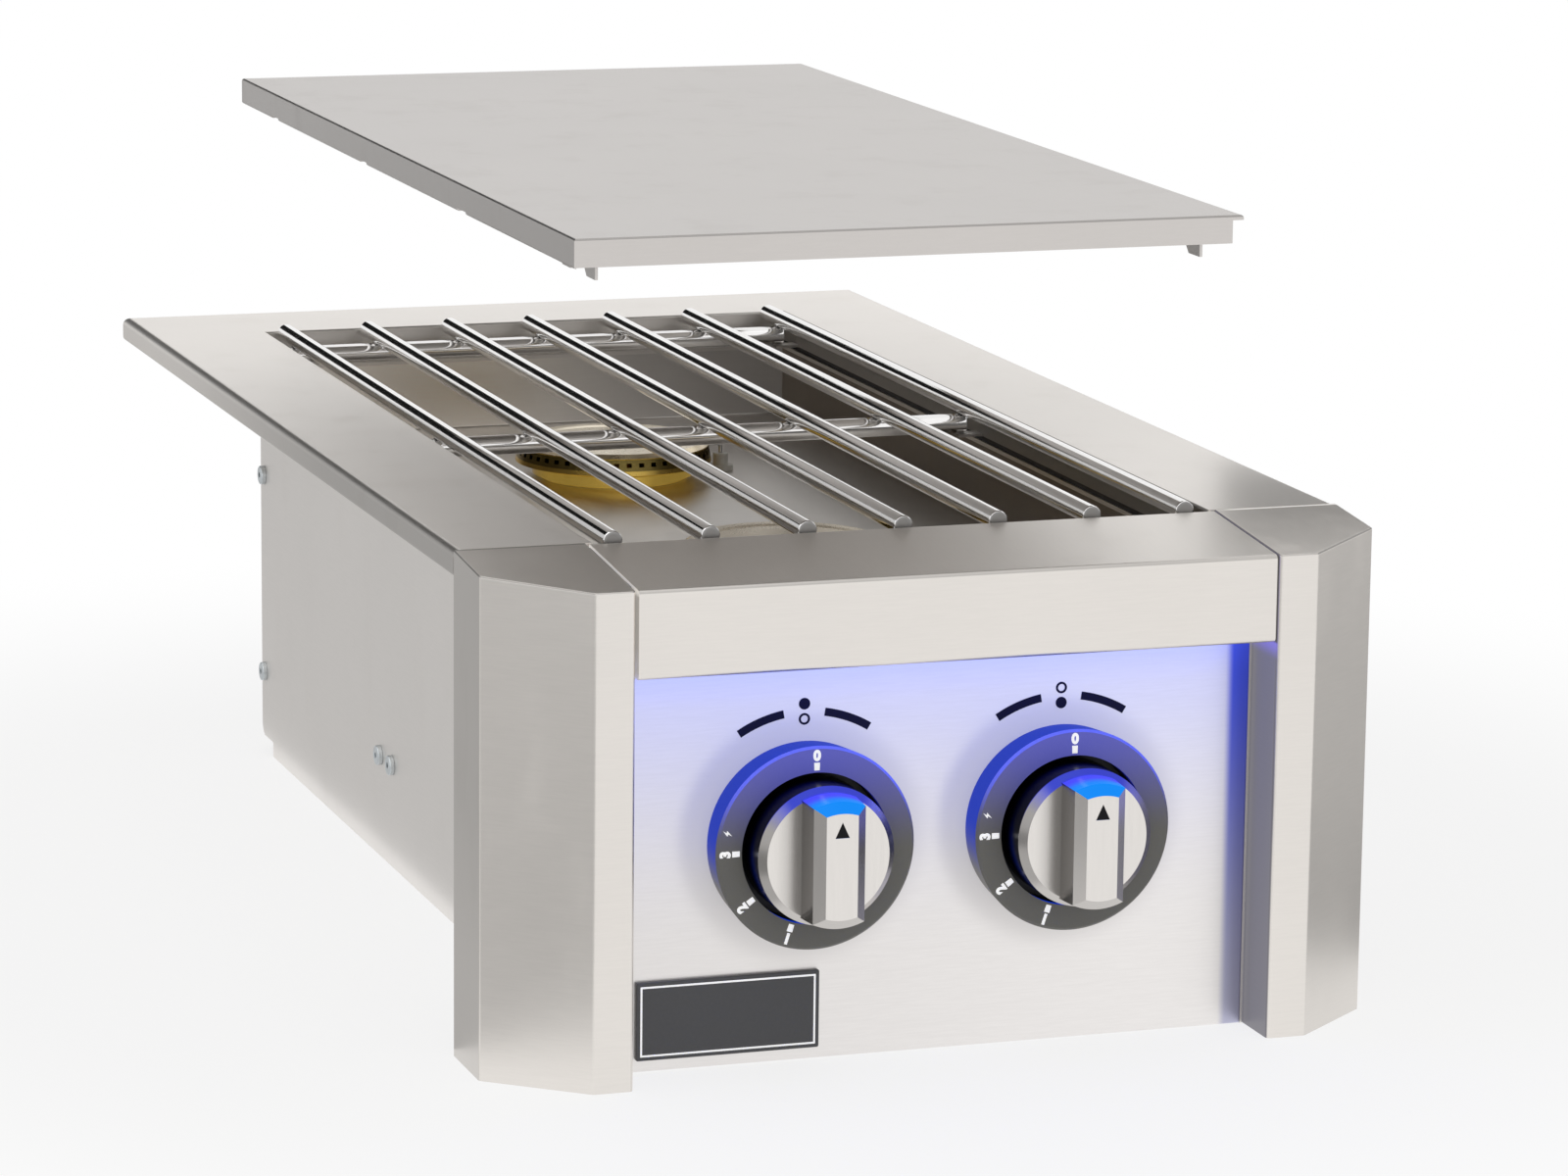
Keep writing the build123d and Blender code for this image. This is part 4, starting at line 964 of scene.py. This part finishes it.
def sky():
    """White studio surroundings, softer as light on matt things."""
    f = Finish("studio", bpy.data.worlds.new("studio"))
    seen = in_view(f) + mirrored(f)
    soft = f.node("ShaderNodeBackground", None, {"Color": WHITE, "Strength": SKY_SOFT})
    white = f.node("ShaderNodeBackground", None, {"Color": WHITE, "Strength": 1.0})
    both = f.node("ShaderNodeMixShader", None, {0: seen, 1: soft, 2: white})
    f.node("ShaderNodeOutputWorld", None, {"Surface": both})
    bpy.context.scene.world = f.owner


def stage_sheet(name, corners, finish):
    """Flat sheet of the studio, which isn't part of the object."""
    mesh = bpy.data.meshes.new(name)
    mesh.from_pydata(corners, [], [range(len(corners))])
    card = bpy.data.objects.new(name, mesh)
    bpy.context.scene.collection.objects.link(card)
    mesh.materials.append(finish)
    return card


def floor():
    """Pale floor that keeps a soft shadow."""
    f = Finish("floor")
    matt = f.node("ShaderNodeBsdfDiffuse", None, {"Color": FLOOR_GREY})
    white = f.node("ShaderNodeEmission", None, {"Color": WHITE, "Strength": 1.0})
    away = f.node("ShaderNodeVectorMath", {"operation": "LENGTH"}, {0: f.place()}, out="Value")
    share = f.step(away, FLOOR_NEAR, FLOOR_FAR, FLOOR_WHITE, 1.0)
    both = f.node("ShaderNodeMixShader", None, {0: in_view(f) * share + mirrored(f), 1: matt, 2: white})
    half = FLOOR_HALF
    corners = [(-half, -half, 0), (half, -half, 0), (half, half, 0), (-half, half, 0)]
    stage_sheet("floor", corners, f.surface(both))


def studio_card(name, shade, corner, across, rise):
    """Studio card from a corner and two edges, which only reflections see."""
    f = Finish(name)
    light = f.node("ShaderNodeEmission", None, {"Color": (shade, shade, shade), "Strength": 1.0})
    finish = f.surface(light)
    first, across, rise = Vector(corner), Vector(across), Vector(rise)
    made = stage_sheet(name, [first, first + across, first + across + rise, first + rise], finish)
    made.visible_camera = False
    made.visible_shadow = False
    made.visible_diffuse = False


def lamp(name, place, target, size, power, colour=WHITE):
    """Rectangular lamp that looks at a target."""
    data = bpy.data.lights.new(name, "AREA")
    data.shape = "RECTANGLE"
    data.size, data.size_y = size
    data.energy = power
    data.color = colour
    made = bpy.data.objects.new(name, data)
    bpy.context.scene.collection.objects.link(made)
    made.location = place
    made.rotation_euler = (Vector(target) - Vector(place)).to_track_quat("-Z", "Y").to_euler()


def studio():
    """Surroundings, floor, cards, the softbox over the burner and the light under its header."""
    sky()
    floor()
    for row in CARDS:
        studio_card(*row)
    lamp("top_softbox", SOFTBOX_PLACE, SOFTBOX_TARGET, SOFTBOX_SIZE, SOFTBOX_POWER)
    low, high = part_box("light_lens")
    middle = (low[1] + high[1]) / 2
    place = (0, middle, low[2] - STRIP_DROP)
    target = (0, middle - STRIP_LEAN, 0)
    lamp("light_strip", place, target, (high[0] - low[0], STRIP_DEPTH), STRIP_POWER, STRIP_COLOUR)


def camera():
    """Camera at the photograph's place and angle."""
    level = math.cos(CAMERA_PITCH)
    ahead = (-math.sin(CAMERA_YAW) * level, math.cos(CAMERA_YAW) * level, math.sin(CAMERA_PITCH))
    forward = Vector(ahead)
    right = forward.cross(Vector((0, 0, 1))).normalized()
    up = right.cross(forward)
    right, up = (
        math.cos(CAMERA_ROLL) * right + math.sin(CAMERA_ROLL) * up,
        math.cos(CAMERA_ROLL) * up - math.sin(CAMERA_ROLL) * right,
    )
    data = bpy.data.cameras.new("camera")
    data.lens = CAMERA_LENS
    data.sensor_width = SENSOR
    made = bpy.data.objects.new("camera", data)
    bpy.context.scene.collection.objects.link(made)
    turn = Matrix((right, up, -forward)).transposed().to_4x4()
    made.matrix_world = Matrix.Translation(CAMERA_PLACE) @ turn
    bpy.context.scene.camera = made


def springs():
    """Coiled springs of both valves."""
    finish = zinc("spring_wire", ZINC, 0.25)
    return_spring("left", finish)
    return_spring("right", finish)


def marks():
    """Print on the dials, the panel and the plate, and the knobs' pointers."""
    # white print with a painted glow
    white = enamel("white_print", PRINT_WHITE, 0.5, glow=0.5)
    navy = enamel("navy_print", NAVY, 0.5, shine=0.15)
    black = enamel("black_print", BLACK, 0.5, shine=0.1)
    dial_marks("left", "rear", white, navy, black)
    dial_marks("right", "front", white, navy, black)
    plate_line(white)


camera()
dress()
marks()
springs()
studio()
bpy.context.scene.view_settings.view_transform = "Standard"
